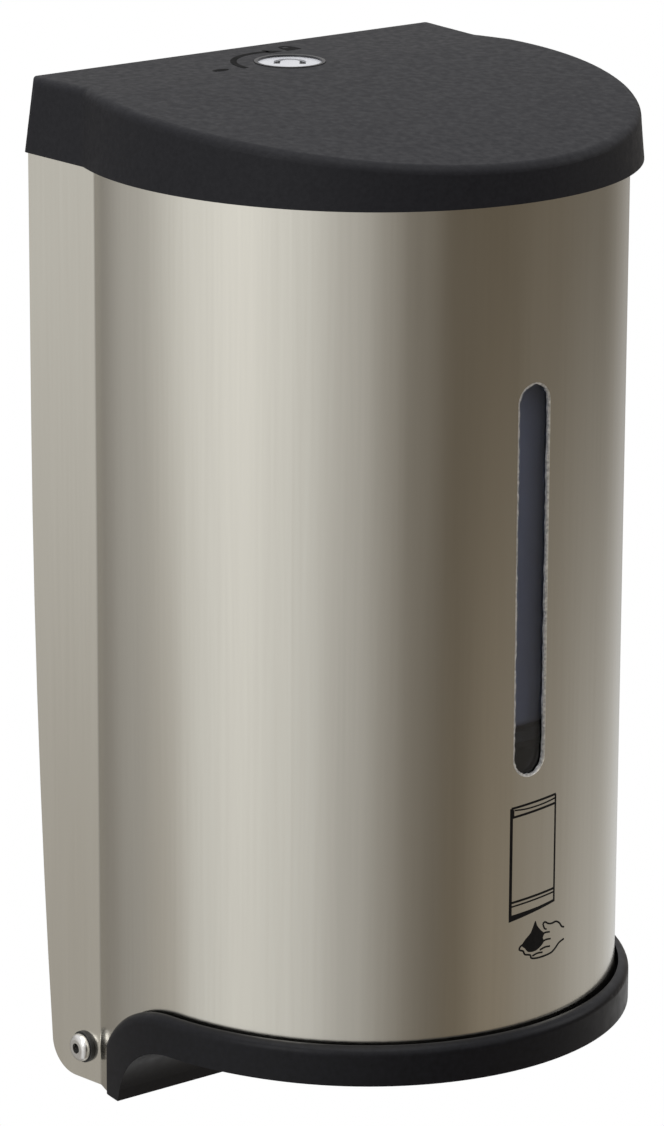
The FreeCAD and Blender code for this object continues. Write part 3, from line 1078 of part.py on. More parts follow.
def gears():
    size = SIZES
    rotor = (reading(ROTOR[0]), reading(ROTOR[1]))
    idler = (reading(IDLER[0]), reading(IDLER[1]))
    motor = (reading(MOTOR[0]), reading(MOTOR[1]))
    bend = size["gear_bend_angle"]
    width = size["gear_width"]
    first = size["first_layer_x"]
    second = size["second_layer_x"]
    wheel = gear_shape(size["rotor_teeth"], rotor, second, width, bend, size["shaft_radius"])
    subpart(made("rotor_gear_solid", wheel), "rotor_gear")
    bore = size["axle_bore_radius"]
    small_half = 180 / size["idler_pinion_teeth"]
    big = gear_shape(size["idler_teeth"], idler, first, width, -bend, bore)
    small_facing = bend + 180 + small_half
    small = gear_shape(size["idler_pinion_teeth"], idler, first + width, second - first, small_facing, bore)
    subpart(made("idler_gear_solid", big.fuse(small).removeSplitter()), "idler_gear")
    pinion_half = 180 / size["motor_teeth"]
    pinion_facing = 180 - bend + pinion_half
    pinion = gear_shape(size["motor_teeth"], motor, first, width, pinion_facing, size["motor_shaft_radius"])
    subpart(made("motor_pinion_solid", pinion), "motor_pinion")


def gearbox():
    depth = ("-box_front_depth", "-box_rear_depth")
    rise = ("box_foot_level", "box_top_level")
    block = box("box_block", ("box_low_x", "box_high_x"), depth, rise)
    inside = box("box_inside", ("box_low_x + box_wall", "box_high_x + 1"),
                 ("-box_front_depth + box_wall", "-box_rear_depth - box_wall"),
                 ("box_foot_level + box_wall", "box_top_level - box_wall"))
    pillars = drilled("box_pillar", "x", "3.4", BOX_CORNERS, ("box_low_x", "box_high_x"))
    posts = [rod(f"box_post{number}", "z", "4", place, ("box_top_level - box_wall", "shelf_level"))
             for number, place in enumerate(MODULE_FIXINGS[1:])]
    holes = [
        rod("box_rotor_hole", "x", "shaft_bore_radius", ROTOR, ("box_low_x - 1", "box_low_x + 5")),
        rod("box_idler_hole", "x", "axle_radius", IDLER, ("box_low_x + 1", "box_low_x + 5")),
        rod("box_motor_hole", "x", "2.5", MOTOR, ("box_low_x - 1", "box_low_x + 5")),
    ]
    holes += drilled("box_thread", "x", "screw_radius", BOX_CORNERS, ("box_high_x - 7", "box_high_x + 1"))
    holes += drilled("box_post_thread", "z", "screw_radius", MODULE_FIXINGS[1:],
                     ("box_top_level + 0.6", "shelf_level + 1"))
    blank = fuse("box_blank", cut("box_hollow", block, inside), *pillars, *posts)
    subpart(cut("gearbox_housing_solid", blank, *holes), "gearbox_housing")

    lid_x = ("box_high_x", "box_high_x + box_wall")
    plate = box("box_cover_block", lid_x, depth, rise)
    dimples = [
        rod("cover_rotor_hole", "x", "shaft_bore_radius", ROTOR, ("box_high_x - 1", "box_high_x + 1.2")),
        rod("cover_idler_hole", "x", "axle_radius", IDLER, ("box_high_x - 1", "box_high_x + 1.2")),
    ]
    dimples += drilled("cover_hole", "x", "tab_hole_radius", BOX_CORNERS, ("box_high_x - 1", "box_high_x + 5"))
    subpart(cut("gearbox_cover_solid", plate, *dimples), "gearbox_cover")
    head_end = "box_high_x + box_wall + screw_head_height"
    screws = [screw(f"box_screw{number}", "x", place, head_end, "box_high_x - 5")
              for number, place in enumerate(BOX_CORNERS)]
    CHASSIS_SCREWS.extend(screws)
    axle = rod("idler_axle_solid", "x", "axle_radius", IDLER, ("box_low_x + 1", "box_high_x + 1.2"))
    subpart(axle, "idler_axle")


def motor():
    can = rod("motor_can_round", "x", "motor_radius", MOTOR, ("motor_low_x", "box_low_x"))
    flats = box("motor_flats", ("motor_low_x - 1", "box_low_x + 1"), (f"{MOTOR[0]} - 12", f"{MOTOR[0]} + 12"),
                (f"{MOTOR[1]} - 7.6", f"{MOTOR[1]} + 7.6"))
    bore = rod("motor_bore", "x", "motor_bore_radius", MOTOR, ("motor_shaft_start_x - 0.5", "box_low_x + 1"))
    subpart(cut("motor_can_solid", common("motor_can_blank", can, flats), bore), "motor_can")
    cap = rod("motor_cap", "x", "motor_radius - 1", MOTOR, ("motor_low_x - 2.5", "motor_low_x"))
    cap_flats = box("motor_cap_flats", ("motor_low_x - 3", "motor_low_x"),
                    (f"{MOTOR[0]} - 12", f"{MOTOR[0]} + 12"), (f"{MOTOR[1]} - 7", f"{MOTOR[1]} + 7"))
    subpart(common("motor_endcap_solid", cap, cap_flats), "motor_endcap")
    shaft = rod("motor_shaft_solid", "x", "motor_shaft_radius", MOTOR,
                ("motor_shaft_start_x", "first_layer_x + gear_width + 0.8"))
    subpart(shaft, "motor_shaft")


# ---------------------------------------------------------------- batteries

def battery_bay():
    rise = ("case_foot_level", "case_top_level")
    wide = ("-case_half", "case_half")
    block = box("case_block", wide, ("-case_depth", "-plate_thickness"), rise)
    inside = box("case_inside", ("-case_half + case_wall", "case_half - case_wall"),
                 ("-case_depth - 5", "-plate_thickness - case_wall + 0.2"),
                 ("case_foot_level + case_wall", "case_top_level - case_wall"))
    rails = []
    for side, sign in SIDES:
        run = sided(sign, "case_half", "case_half + 1.6")
        rails.append(box(f"rail_{side}", run, ("-door_depth - door_thickness - 1.8", "-case_depth + 4"), rise))
        lip = sided(sign, "case_half - 2", "case_half + 1.6")
        lip_y = ("-door_depth - door_thickness - 1.8", "-door_depth - door_thickness - 0.3")
        rails.append(box(f"rail_lip_{side}", lip, lip_y, rise))
    subpart(cut("battery_box_solid", fuse("case_blank", block, *rails), inside), "battery_box")

    door = box("door_block", ("-case_half + 0.3", "case_half - 0.3"),
               ("-door_depth - door_thickness", "-door_depth"), ("case_foot_level", "case_top_level"))
    grip = box("door_grip", ("-8", "8"), ("-door_depth - door_thickness - 2", "-door_depth - 0.5"),
               ("case_foot_level + 6", "case_foot_level + 8.5"))
    subpart(fuse("battery_door_solid", door, grip), "battery_door")

    cells = []
    contacts = []
    for number in range(4):
        place = (f"({number} - 1.5) * cell_pitch", "-cell_depth")
        top = "cell_foot_level + cell_length"
        facing_up = number % 2 == 0
        body_ends = ("cell_foot_level", f"{top} - 1") if facing_up else ("cell_foot_level + 1", top)
        nub_ends = (f"{top} - 1", top) if facing_up else ("cell_foot_level", "cell_foot_level + 1")
        body = rod(f"cell_body{number}", "z", "cell_radius", place, body_ends)
        nub = rod(f"cell_nub{number}", "z", "2.6", place, nub_ends)
        cells.append(fuse(f"cell{number}", body, nub))
        floor = "case_foot_level + case_wall"
        low_z = (floor, "cell_foot_level")
        contacts.append(rod(f"contact_low{number}", "z", "5", place, low_z, top_radius="2.6"))
        roof = "case_top_level - case_wall"
        contacts.append(rod(f"contact_high{number}", "z", "3", place, (top, roof), top_radius="5"))
    subpart(group("cell_set", *cells), "battery_cells")
    subpart(group("contact_set", *contacts), "battery_contacts")


# ---------------------------------------------------------------- electronics

def boards():
    low = "-board_rear_depth - board_thickness"
    panel = box("board_panel", ("-board_half", "board_half"), (low, "-board_rear_depth"),
                ("board_low_level", "board_high_level"))
    holes = drilled("board_hole", "y", "tab_hole_radius", BOARD_FIXINGS, (f"{low} - 1", "0"))
    subpart(cut("main_pcb_solid", panel, *holes), "main_pcb")
    chip = box("chip", ("-chip_half", "chip_half"), (f"{low} - chip_height", low),
               ("chip_level - chip_half", "chip_level + chip_half"))
    driver = box("driver", ("driver_low_x", "driver_high_x"), (f"{low} - driver_height", low),
                 ("driver_low_level", "driver_high_level"))
    plug = box("plug_socket", ("plug_low_x", "plug_high_x"), (f"{low} - plug_height", low),
               ("plug_low_level", "plug_high_level"))
    motor_plug = box("motor_plug", ("motor_plug_low_x", "motor_plug_high_x"), (f"{low} - plug_height", low),
                     ("motor_plug_low_level", "motor_plug_high_level"))
    can = rod("capacitor", "y", "capacitor_radius", ("capacitor_x", "capacitor_level"),
              (f"{low} - capacitor_height", low))
    subpart(group("pcb_component_set", chip, driver, plug, motor_plug, can), "pcb_components")
    screws = [screw(f"board_screw{number}", "y", place, f"{low} - screw_head_height", "-1")
              for number, place in enumerate(BOARD_FIXINGS)]
    CHASSIS_SCREWS.extend(screws)

    level = ("eye_board_level", "eye_board_level + board_thickness")
    eye = box("eye_board", ("-eye_board_half", "eye_board_half"), ("-eye_depth - 8", "-eye_depth + 8"), level)
    eye_holes = drilled("eye_board_hole", "z", "screw_radius * 0.8", EYE_POSTS,
                        ("eye_board_level - 1", "pump_foot_level"))
    subpart(cut("sensor_board_solid", eye, *eye_holes), "sensor_board")
    leds = []
    for side, sign in SIDES:
        place = (f"{sign} * led_x", "-eye_depth")
        body = rod(f"led_body_{side}", "z", "led_radius", place, ("eye_board_level - 2", "eye_board_level"))
        dome = rod(f"led_dome_{side}", "z", "led_radius * 0.55", place,
                   ("eye_board_level - 4", "eye_board_level - 2"), top_radius="led_radius")
        leds.append(fuse(f"led_{side}", body, dome))
    lamp = rod("status_lamp", "z", "lamp_radius", ("0", "-eye_depth"),
               ("eye_board_level - lamp_height", "eye_board_level"))
    subpart(group("led_set", *leds, lamp), "sensor_leds")


def power_switch():
    foot = "shelf_level - switch_height"
    block = box("switch_block", ("switch_x - switch_half_width", "switch_x + switch_half_width"),
                ("-switch_depth - switch_half_length", "-switch_depth + switch_half_length"),
                (foot, "shelf_level"))
    slot = box("switch_slot", ("switch_x - knob_half_width - 0.3", "switch_x + knob_half_width + 0.3"),
               ("-switch_depth - knob_half_length - 0.4", "-switch_depth + knob_half_length + 0.4"),
               (f"{foot} - 1", "shelf_level - knob_root + 0.4"))
    subpart(cut("switch_body_solid", block, slot), "power_switch_body")
    knob_y = ("-switch_depth - knob_half_length", "-switch_depth + knob_half_length - knob_travel")
    knob = box("knob", ("switch_x - knob_half_width", "switch_x + knob_half_width"), knob_y,
               ("shelf_level - knob_reach", "shelf_level - knob_root"))
    tip_level = reading("shelf_level - knob_reach + 0.5")
    subpart(rounded("knob_solid", knob, "knob_edge_radius", lambda edge, middle: middle.z < tip_level),
            "power_switch_knob")


def wires():
    """Leads held inside along their real routes: straight runs and tangent arcs."""
    size = SIZES
    case_foot = size["case_foot_level"]
    plug_top = size["plug_high_level"]
    endcap = size["motor_low_x"] - 2.5
    plug_side = size["motor_plug_low_x"]
    eye_top = size["eye_board_level"] + 0.8
    thick = size["battery_lead_radius"]
    thin = size["thin_lead_radius"]
    battery_route = [(-22, -12.5, case_foot), (-24, -13, -6), (-23.5, -13, -38), (-21, -13.2, plug_top)]
    motor_route = [(endcap, -43.5, -64), (-27, -43.5, -64), (-31, -26, -78), (-29, -11.5, -85),
                   (plug_side, -11.5, -85)]
    sensor_route = [(11, -84, eye_top), (14, -66, -97.5), (14, -36, -97), (11, -9, -94)]
    leads = (("battery_lead", thick, battery_route, 120), ("motor_lead", thin, motor_route, 4),
             ("sensor_lead", thin, sensor_route, 20))
    for name, radius, route, bend in leads:
        points = [Vector(*place) for place in route]
        solid = tube_along(tube_path(points, [bend] * (len(points) - 2)), radius)
        subpart(made(name + "_solid", solid), name)


for build in (cover_shell, lid, base_trim, window, lock, cover_fasteners, sensor_window, hinges, back_plate,
              keeper, shelf, reservoir, outlet_valve, outlet_socket, pump_case, pump_rotor, pump_tube, nozzle,
              gears, gearbox, motor, battery_bay, boards, power_switch, wires):
    build()
subpart(group("chassis_screw_set", *CHASSIS_SCREWS), "chassis_screws")
document.recompute()

faults = [item.Label for item in document.Objects if "Invalid" in item.State or "Error" in item.State]
faults += [item.Label for item in SUBPARTS if item.Shape.isNull() or not item.Shape.isValid()]
if faults:
    sys.exit("not built: " + ", ".join(sorted(set(faults))))

os.makedirs("parts", exist_ok=True)
for item in SUBPARTS:
    item.Shape.exportStep(os.path.join("parts", item.Label + ".step"))
    print(f"{item.Label:20s} {len(item.Shape.Solids):3d} solids {item.Shape.Volume:12.1f} mm3")
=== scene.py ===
"""Wall mounted soap dispenser: materials, printed marks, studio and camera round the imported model. Metres."""
import json
import math
import random

import bmesh
import bpy
from mathutils import Euler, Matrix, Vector
from mathutils.geometry import tessellate_polygon


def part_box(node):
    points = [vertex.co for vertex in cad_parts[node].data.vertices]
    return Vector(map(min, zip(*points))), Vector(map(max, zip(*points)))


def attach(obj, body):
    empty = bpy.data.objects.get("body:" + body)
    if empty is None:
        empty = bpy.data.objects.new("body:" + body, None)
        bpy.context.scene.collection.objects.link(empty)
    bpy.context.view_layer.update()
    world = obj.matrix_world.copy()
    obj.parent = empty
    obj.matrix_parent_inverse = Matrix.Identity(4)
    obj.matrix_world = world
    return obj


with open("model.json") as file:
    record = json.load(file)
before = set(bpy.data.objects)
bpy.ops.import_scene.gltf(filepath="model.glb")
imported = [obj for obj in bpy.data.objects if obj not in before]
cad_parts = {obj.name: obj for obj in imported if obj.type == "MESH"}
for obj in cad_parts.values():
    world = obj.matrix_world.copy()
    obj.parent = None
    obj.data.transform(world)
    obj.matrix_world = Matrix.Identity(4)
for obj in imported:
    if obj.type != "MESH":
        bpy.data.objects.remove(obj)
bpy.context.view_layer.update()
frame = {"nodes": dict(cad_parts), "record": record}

MM = 0.001
FRONT_RADIUS = 67.35 * MM
FRONT_CENTRE_Y = -57.7 * MM
LID_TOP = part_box("lid")[1].z
LOCK_Y = -24.0 * MM
ARROW_REACH, ARROW_WIDTH, ARROW_HALF_HEAD = 14.8, 1.7, 2.4
PLUG_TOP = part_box("lock_plug")[1].z
KEY_TURN = -40
KEY_POCKET = 0.5 * MM
KEY_RADIUS, KEY_WIDTH, KEY_LEG = 3.4, 1.6, 3.0
PIN_Y, PIN_Z = -19.0 * MM, -122.3 * MM
SOCKET_DEPTH = 1.0 * MM
SOCKET_RADIUS = 1.42
SLOT_HALF = 5.3 * MM
SLOT_LOW = -31.2 * MM
SLOT_HIGH = 73.0 * MM
FLOOR_LEVEL = -0.62
STAGE_SIZE = 7.0


# ---------------------------------------------------------------- materials

class Paint:
    """A node material with one principled shader and short ways to add detail to it."""

    def __init__(self, name, colour, roughness, **values):
        self.material = bpy.data.materials.new(name)
        self.material.use_nodes = True
        self.tree = self.material.node_tree
        self.nodes = self.tree.nodes
        self.shader = self.nodes["Principled BSDF"]
        self.set("Base Color", (*colour[:3], 1))
        self.set("Roughness", roughness)
        for key, value in values.items():
            self.set(key.replace("_", " "), value)
        self.place = self.nodes.new("ShaderNodeTexCoord").outputs["Object"]

    def set(self, socket, value):
        self.shader.inputs[socket].default_value = value

    def link(self, start, end):
        self.tree.links.new(start, end)

    def stretched(self, scale):
        node = self.nodes.new("ShaderNodeMapping")
        node.inputs["Scale"].default_value = scale
        self.link(self.place, node.inputs["Vector"])
        return node.outputs["Vector"]

    def noise(self, scale, stretch=(1, 1, 1), detail=4.0, rough=0.5):
        node = self.nodes.new("ShaderNodeTexNoise")
        node.inputs["Scale"].default_value = scale
        node.inputs["Detail"].default_value = detail
        node.inputs["Roughness"].default_value = rough
        self.link(self.stretched(stretch), node.inputs["Vector"])
        return node.outputs["Fac"]

    def grains(self, scale, stretch=(1, 1, 1)):
        node = self.nodes.new("ShaderNodeTexVoronoi")
        node.inputs["Scale"].default_value = scale
        self.link(self.stretched(stretch), node.inputs["Vector"])
        return node.outputs["Distance"]

    def spread(self, source, low, high, low_to, high_to):
        node = self.nodes.new("ShaderNodeMapRange")
        for key, value in (("From Min", low), ("From Max", high), ("To Min", low_to), ("To Max", high_to)):
            node.inputs[key].default_value = value
        self.link(source, node.inputs["Value"])
        return node.outputs["Result"]

    def rough(self, source, low, high):
        """Roughness that follows a pattern between two values."""
        self.link(self.spread(source, 0.3, 0.7, low, high), self.shader.inputs["Roughness"])
        return self

    def tint(self, source, first, second, low=0.3, high=0.7):
        """Base colour that follows a pattern between two colours."""
        node = self.nodes.new("ShaderNodeMix")
        node.data_type = "RGBA"
        node.inputs[6].default_value = (*first, 1)
        node.inputs[7].default_value = (*second, 1)
        self.link(self.spread(source, low, high, 0, 1), node.inputs[0])
        self.link(node.outputs[2], self.shader.inputs["Base Color"])
        return self

    def bump(self, source, height, strength=1.0):
        """Relief of a real height in metres; a second call adds to the first."""
        node = self.nodes.new("ShaderNodeBump")
        node.inputs["Distance"].default_value = height
        node.inputs["Strength"].default_value = strength
        self.link(source, node.inputs["Height"])
        before = self.shader.inputs["Normal"]
        if before.is_linked:
            self.link(before.links[0].from_socket, node.inputs["Normal"])
        self.link(node.outputs["Normal"], before)
        return self


def satin_metal():
    """Champagne stainless steel, polished, with a faint upright grain and slight waves of the sheet."""
    paint = Paint("satin_metal", (0.70, 0.675, 0.60), 0.17, Metallic=1.0)
    grain = paint.noise(900, (1, 1, 0.02), 3)
    paint.tint(grain, (0.69, 0.665, 0.592), (0.71, 0.686, 0.612))
    paint.rough(paint.noise(60, (1, 1, 0.15), 3), 0.15, 0.20)
    paint.bump(grain, 0.0000015, 0.4)
    return paint.bump(paint.noise(14, (1, 1, 0.25), 2), 0.00006, 0.25)


def lid_black():
    """Fine spark eroded grain, dull on top."""
    paint = Paint("lid_black", (0.010, 0.010, 0.012), 0.5, Specular_IOR_Level=0.16)
    paint.tint(paint.noise(900, detail=4), (0.0085, 0.0085, 0.0105), (0.0125, 0.0125, 0.015))
    paint.rough(paint.noise(500, detail=2), 0.44, 0.58)
    paint.bump(paint.noise(2600, detail=3, rough=0.7), 0.00006, 0.5)
    return paint.bump(paint.grains(2100), 0.00003, 0.35)


def trim_black():
    paint = Paint("trim_black", (0.006, 0.006, 0.007), 0.34, Specular_IOR_Level=0.15)
    paint.tint(paint.noise(700), (0.006, 0.006, 0.007), (0.009, 0.009, 0.011))
    paint.rough(paint.noise(300), 0.30, 0.40)
    return paint.bump(paint.noise(1400, detail=3), 0.00002, 0.3)


def moulded(name, colour, roughness=0.45, relief=0.00003, scale=900, **values):
    """Plain moulded plastic: slight shade changes, fine texture."""
    paint = Paint(name, colour, roughness, **values)
    lighter = tuple(min(1, part * 1.18 + 0.003) for part in colour[:3])
    paint.tint(paint.noise(55, detail=5), colour[:3], lighter)
    paint.rough(paint.noise(240), roughness - 0.06, roughness + 0.06)
    return paint.bump(paint.noise(scale, detail=3), relief, 0.45)


def turned_metal(name, colour, roughness=0.28, stretch=(1, 1, 1)):
    paint = Paint(name, colour, roughness, Metallic=1.0)
    darker = tuple(part * 0.86 for part in colour)
    paint.tint(paint.noise(420, stretch, 5), darker, colour)
    paint.rough(paint.noise(700, stretch), roughness - 0.08, roughness + 0.08)
    return paint.bump(paint.noise(1500, stretch, 2), 0.000008, 0.4)


def lock_silver():
    paint = Paint("lock_silver", (0.74, 0.75, 0.78), 0.34, Metallic=0.35, Coat_Weight=0.2)
    paint.tint(paint.noise(130, detail=6), (0.70, 0.71, 0.745), (0.79, 0.80, 0.83))
    return paint.bump(paint.noise(900, (1, 0.1, 1), 3), 0.000012, 0.5)


def clear_lens():
    """Clear window with the smears and dust of its film."""
    paint = Paint("clear_lens", (0.80, 0.84, 0.92), 0.06, IOR=1.45, Transmission_Weight=1.0)
    paint.rough(paint.noise(140, (1, 1, 0.3), 6), 0.03, 0.22)
    return paint.bump(paint.noise(220, (1, 1, 0.25), 3), 0.00003, 0.3)


def tank_plastic():
    """Smoky blue blow moulded tank."""
    paint = Paint("tank_plastic", (0.20, 0.215, 0.27), 0.36, Coat_Weight=0.25, Subsurface_Weight=0.15)
    paint.set("Subsurface Radius", (0.003, 0.004, 0.006))
    paint.tint(paint.noise(24, (1, 1, 0.35), 5), (0.24, 0.25, 0.32), (0.36, 0.375, 0.45))
    return paint.bump(paint.noise(120, (1, 1, 0.4), 3), 0.0001, 0.35)


def silicone():
    paint = Paint("silicone", (0.72, 0.73, 0.70), 0.38, Subsurface_Weight=0.3)
    paint.set("Subsurface Radius", (0.002, 0.002, 0.002))
    paint.tint(paint.noise(200), (0.66, 0.67, 0.64), (0.78, 0.79, 0.76))
    return paint.bump(paint.noise(800), 0.00002, 0.3)


def circuit_board():
    """Green solder mask with lighter tracks that run square to each other."""
    paint = Paint("circuit_board", (0.012, 0.11, 0.045), 0.32, Coat_Weight=0.3)
    node = paint.nodes.new("ShaderNodeTexBrick")
    node.inputs["Scale"].default_value = 260
    node.inputs["Mortar Size"].default_value = 0.09
    node.inputs["Color1"].default_value = (0, 0, 0, 1)
    node.inputs["Color2"].default_value = (0.15, 0.15, 0.15, 1)
    node.inputs["Mortar"].default_value = (1, 1, 1, 1)
    paint.link(paint.stretched((1, 1, 1)), node.inputs["Vector"])
    paint.tint(node.outputs["Color"], (0.010, 0.095, 0.038), (0.03, 0.20, 0.085), 0.2, 0.9)
    return paint.bump(node.outputs["Color"], 0.00004, 0.4)


def cell_jacket():
    """Dark foil jacket with a copper coloured collar at the top third."""
    paint = Paint("cell_jacket", (0.03, 0.03, 0.035), 0.25, Metallic=0.6)
    split = paint.nodes.new("ShaderNodeSeparateXYZ")
    paint.link(paint.place, split.inputs["Vector"])
    paint.tint(split.outputs["Z"], (0.03, 0.03, 0.036), (0.62, 0.30, 0.12), 0.0668, 0.0670)
    return paint.bump(paint.noise(160, (1, 1, 0.1)), 0.00003, 0.3)


# Black print ink for the marks on the front; the same ink is also laid as painted shade in the keyway and in
# the hinge screw sockets.
def print_and_painted_shade_black():
    paint = Paint("print_and_painted_shade_black", (0.004, 0.004, 0.004), 0.5, Specular_IOR_Level=0.15)
    paint.tint(paint.noise(900, detail=3), (0.003, 0.003, 0.003), (0.007, 0.006, 0.006))
    return paint.bump(paint.noise(2200), 0.000008, 0.5)


def raw_edge():
    """Bright burr left where the window was cut."""
    paint = Paint("raw_edge", (0.80, 0.79, 0.76), 0.35, Metallic=0.75)
    paint.tint(paint.noise(1400, detail=5), (0.42, 0.42, 0.42), (0.92, 0.91, 0.88))
    return paint.bump(paint.noise(1700, detail=5), 0.00012, 0.9)


PAINTS = {
    "satin_metal": satin_metal(),
    "lid_black": lid_black(),
    "trim_black": trim_black(),
    "bush_black": moulded("bush_black", (0.012, 0.012, 0.012), 0.36),
    "steel": turned_metal("steel", (0.62, 0.61, 0.59)),
    "lock_silver": lock_silver(),
    "lock_black": moulded("lock_black", (0.012, 0.012, 0.014), 0.28, 0.00001),
    "brass": turned_metal("brass", (0.72, 0.50, 0.22)),
    "clear_lens": clear_lens(),
    "foam_tape": moulded("foam_tape", (0.02, 0.02, 0.02), 0.9, 0.0002, 1600),
    "dark_lens": Paint("dark_lens", (0.02, 0.004, 0.008), 0.08, Coat_Weight=0.6),
    "tank_plastic": tank_plastic(),
    "cap_plastic": moulded("cap_plastic", (0.035, 0.05, 0.09), 0.42),
    "silicone": silicone(),
    "chassis_plastic": moulded("chassis_plastic", (0.030, 0.030, 0.033), 0.52, 0.00006, 1100),
    "pump_plastic": moulded("pump_plastic", (0.018, 0.018, 0.020), 0.45),
    "acetal": moulded("acetal", (0.76, 0.76, 0.72), 0.36, 0.00002, 500),
    "circuit_board": circuit_board(),
    "component_black": moulded("component_black", (0.014, 0.014, 0.014), 0.5, 0.00004, 1800),
    "led_epoxy": Paint("led_epoxy", (0.03, 0.022, 0.045), 0.1, Coat_Weight=0.5),
    "cell_jacket": cell_jacket(),
    "nickel": turned_metal("nickel", (0.70, 0.68, 0.62), 0.2),
    "lead_black": moulded("lead_black", (0.012, 0.012, 0.012), 0.45),
    "lead_red": moulded("lead_red", (0.32, 0.012, 0.012), 0.42),
    "lead_grey": moulded("lead_grey", (0.22, 0.22, 0.24), 0.42),
}
for name in ("dark_lens", "led_epoxy"):
    glossy = PAINTS[name]
    glossy.rough(glossy.noise(300, detail=5), 0.05, 0.14)
    glossy.bump(glossy.noise(700), 0.000006, 0.4)
SMOOTH_STEEL = Paint("smooth_steel", (0.78, 0.765, 0.74), 0.24, Metallic=1.0)
SMOOTH_STEEL.rough(SMOOTH_STEEL.noise(500, detail=3), 0.20, 0.28)
SMOOTH_STEEL.bump(SMOOTH_STEEL.noise(1400, detail=2), 0.000002, 0.3)
INK_AND_PAINTED_SHADE = print_and_painted_shade_black()
BURR = raw_edge()

for entry in frame["record"]["subparts"]:
    mesh = frame["nodes"][entry["node"]].data
    mesh.materials.clear()
    mesh.materials.append(PAINTS[entry["material_slot"]].material)
screws = frame["nodes"]["hinge_screws"].data
screws.materials.clear()
screws.materials.append(SMOOTH_STEEL.material)


# ---------------------------------------------------------------- printed marks and painted shade

INK_HEIGHT = 0.05 * MM
FINEST_GAP = 0.0005


def stroke(points, width, closed=False):
    """Outline quads of a line of a given width through points (u, v)."""
    path = [Vector(point) for point in points]
    count = len(path)
    sides = []
    for index, point in enumerate(path):
        before = path[index - 1] if closed or index > 0 else point
        after = path[(index + 1) % count] if closed or index < count - 1 else point
        first = (point - before).normalized() if (point - before).length > 1e-9 else None
        second = (after - point).normalized() if (after - point).length > 1e-9 else None
        along = ((first or second) + (second or first)).normalized()
        normal = Vector((-along.y, along.x))
        leaning = abs(normal.dot(Vector((-(first or second).y, (first or second).x))))
        reach = width / 2 / max(leaning, 0.45)
        sides.append((point + normal * reach, point - normal * reach))
    quads = []
    last = count if closed else count - 1
    for index in range(last):
        (a, b), (c, d) = sides[index], sides[(index + 1) % count]
        quads.append((a, c, d, b))
    return quads


def filled(points):
    """Triangles that fill a closed outline."""
    ring = [Vector((u, v, 0)) for u, v in points]
    return [tuple(Vector(ring[corner][:2]) for corner in face) for face in tessellate_polygon([ring])]


def smooth_line(points, steps=8, closed=False):
    """Curve through the points, for hand drawn looking lines."""
    path = [Vector(point) for point in points]
    count = len(path)
    spans = count if closed else count - 1
    line = []
    for span in range(spans):
        a = path[span - 1] if closed or span > 0 else path[0]
        b, c = path[span], path[(span + 1) % count]
        d = path[(span + 2) % count] if closed or span < count - 2 else path[-1]
        for step in range(steps):
            t = step / steps
            line.append(0.5 * ((2 * b) + (c - a) * t + (2 * a - 5 * b + 4 * c - d) * t * t
                               + (3 * b - a - 3 * c + d) * t * t * t))
    if not closed:
        line.append(path[-1])
    return line


def arc(centre, radius, start, end, steps=24, squash=1.0):
    """Points of an arc, angles in degrees."""
    line = []
    for step in range(steps + 1):
        turn = math.radians(start + (end - start) * step / steps)
        line.append((centre[0] + radius * math.cos(turn), centre[1] + squash * radius * math.sin(turn)))
    return line


def cut_fine(faces, size):
    """Split faces until no edge is longer than size, so that they can follow a curve."""
    fine = bmesh.new()
    for face in faces:
        corners = [fine.verts.new((point[0], point[1], 0)) for point in face]
        fine.faces.new(corners)
    bmesh.ops.triangulate(fine, faces=fine.faces)
    for _ in range(4):
        long_edges = [edge for edge in fine.edges if edge.calc_length() > size]
        if not long_edges:
            break
        bmesh.ops.subdivide_edges(fine, edges=long_edges, cuts=1, use_grid_fill=False)
        bmesh.ops.triangulate(fine, faces=fine.faces)
    return fine


def ink_piece(name, faces, put, body, material, height=INK_HEIGHT, size=2.0):
    """Thin layer of ink made of faces in (u, v) millimetres, used for print and for painted shade; put(u, v,
    rise) gives a place in metres.
    """
    sheet = cut_fine(faces, size)
    bmesh.ops.remove_doubles(sheet, verts=sheet.verts, dist=FINEST_GAP)
    bmesh.ops.recalc_face_normals(sheet, faces=sheet.faces)
    for face in sheet.faces:
        if face.normal.z < 0:
            face.normal_flip()
    lifted = bmesh.ops.duplicate(sheet, geom=sheet.verts[:] + sheet.edges[:] + sheet.faces[:])
    upper = {vert for vert in lifted["geom"] if isinstance(vert, bmesh.types.BMVert)}
    low_faces = [face for face in sheet.faces if face.verts[0] not in upper]
    pairs = lifted["vert_map"]
    rims = [edge for edge in sheet.edges if len(edge.link_faces) == 1 and edge.verts[0] not in upper]
    for edge in rims:
        a, b = edge.verts
        loop = edge.link_loops[0]
        if loop.vert is not a:
            a, b = b, a
        sheet.faces.new((a, b, pairs[b], pairs[a]))
    for face in low_faces:
        face.normal_flip()
    for vert in sheet.verts:
        rise = height if vert in upper else -0.5 * height
        vert.co = put(vert.co.x * MM, vert.co.y * MM, rise)
    mesh = bpy.data.meshes.new(name)
    bmesh.ops.recalc_face_normals(sheet, faces=sheet.faces)
    sheet.to_mesh(mesh)
    sheet.free()
    mesh.materials.append(material.material)
    piece = bpy.data.objects.new(name, mesh)
    bpy.context.scene.collection.objects.link(piece)
    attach(piece, body)
    return piece


def on_front(u, v, rise):
    """Wrap the flat drawing round the front of the cover; u is measured along the sheet."""
    turn = u / FRONT_RADIUS
    reach = FRONT_RADIUS + rise
    return Vector((reach * math.sin(turn), FRONT_CENTRE_Y - reach * math.cos(turn), v))


def on_lid(u, v, rise):
    return Vector((u, v, LID_TOP + rise))


def on_plug(u, v, rise):
    """The floor of the keyway, turned with it about the lock's axis."""
    turn = math.radians(KEY_TURN)
    across, along = u * math.cos(turn) - v * math.sin(turn), u * math.sin(turn) + v * math.cos(turn)
    return Vector((across, LOCK_Y + along, PLUG_TOP - KEY_POCKET + rise))


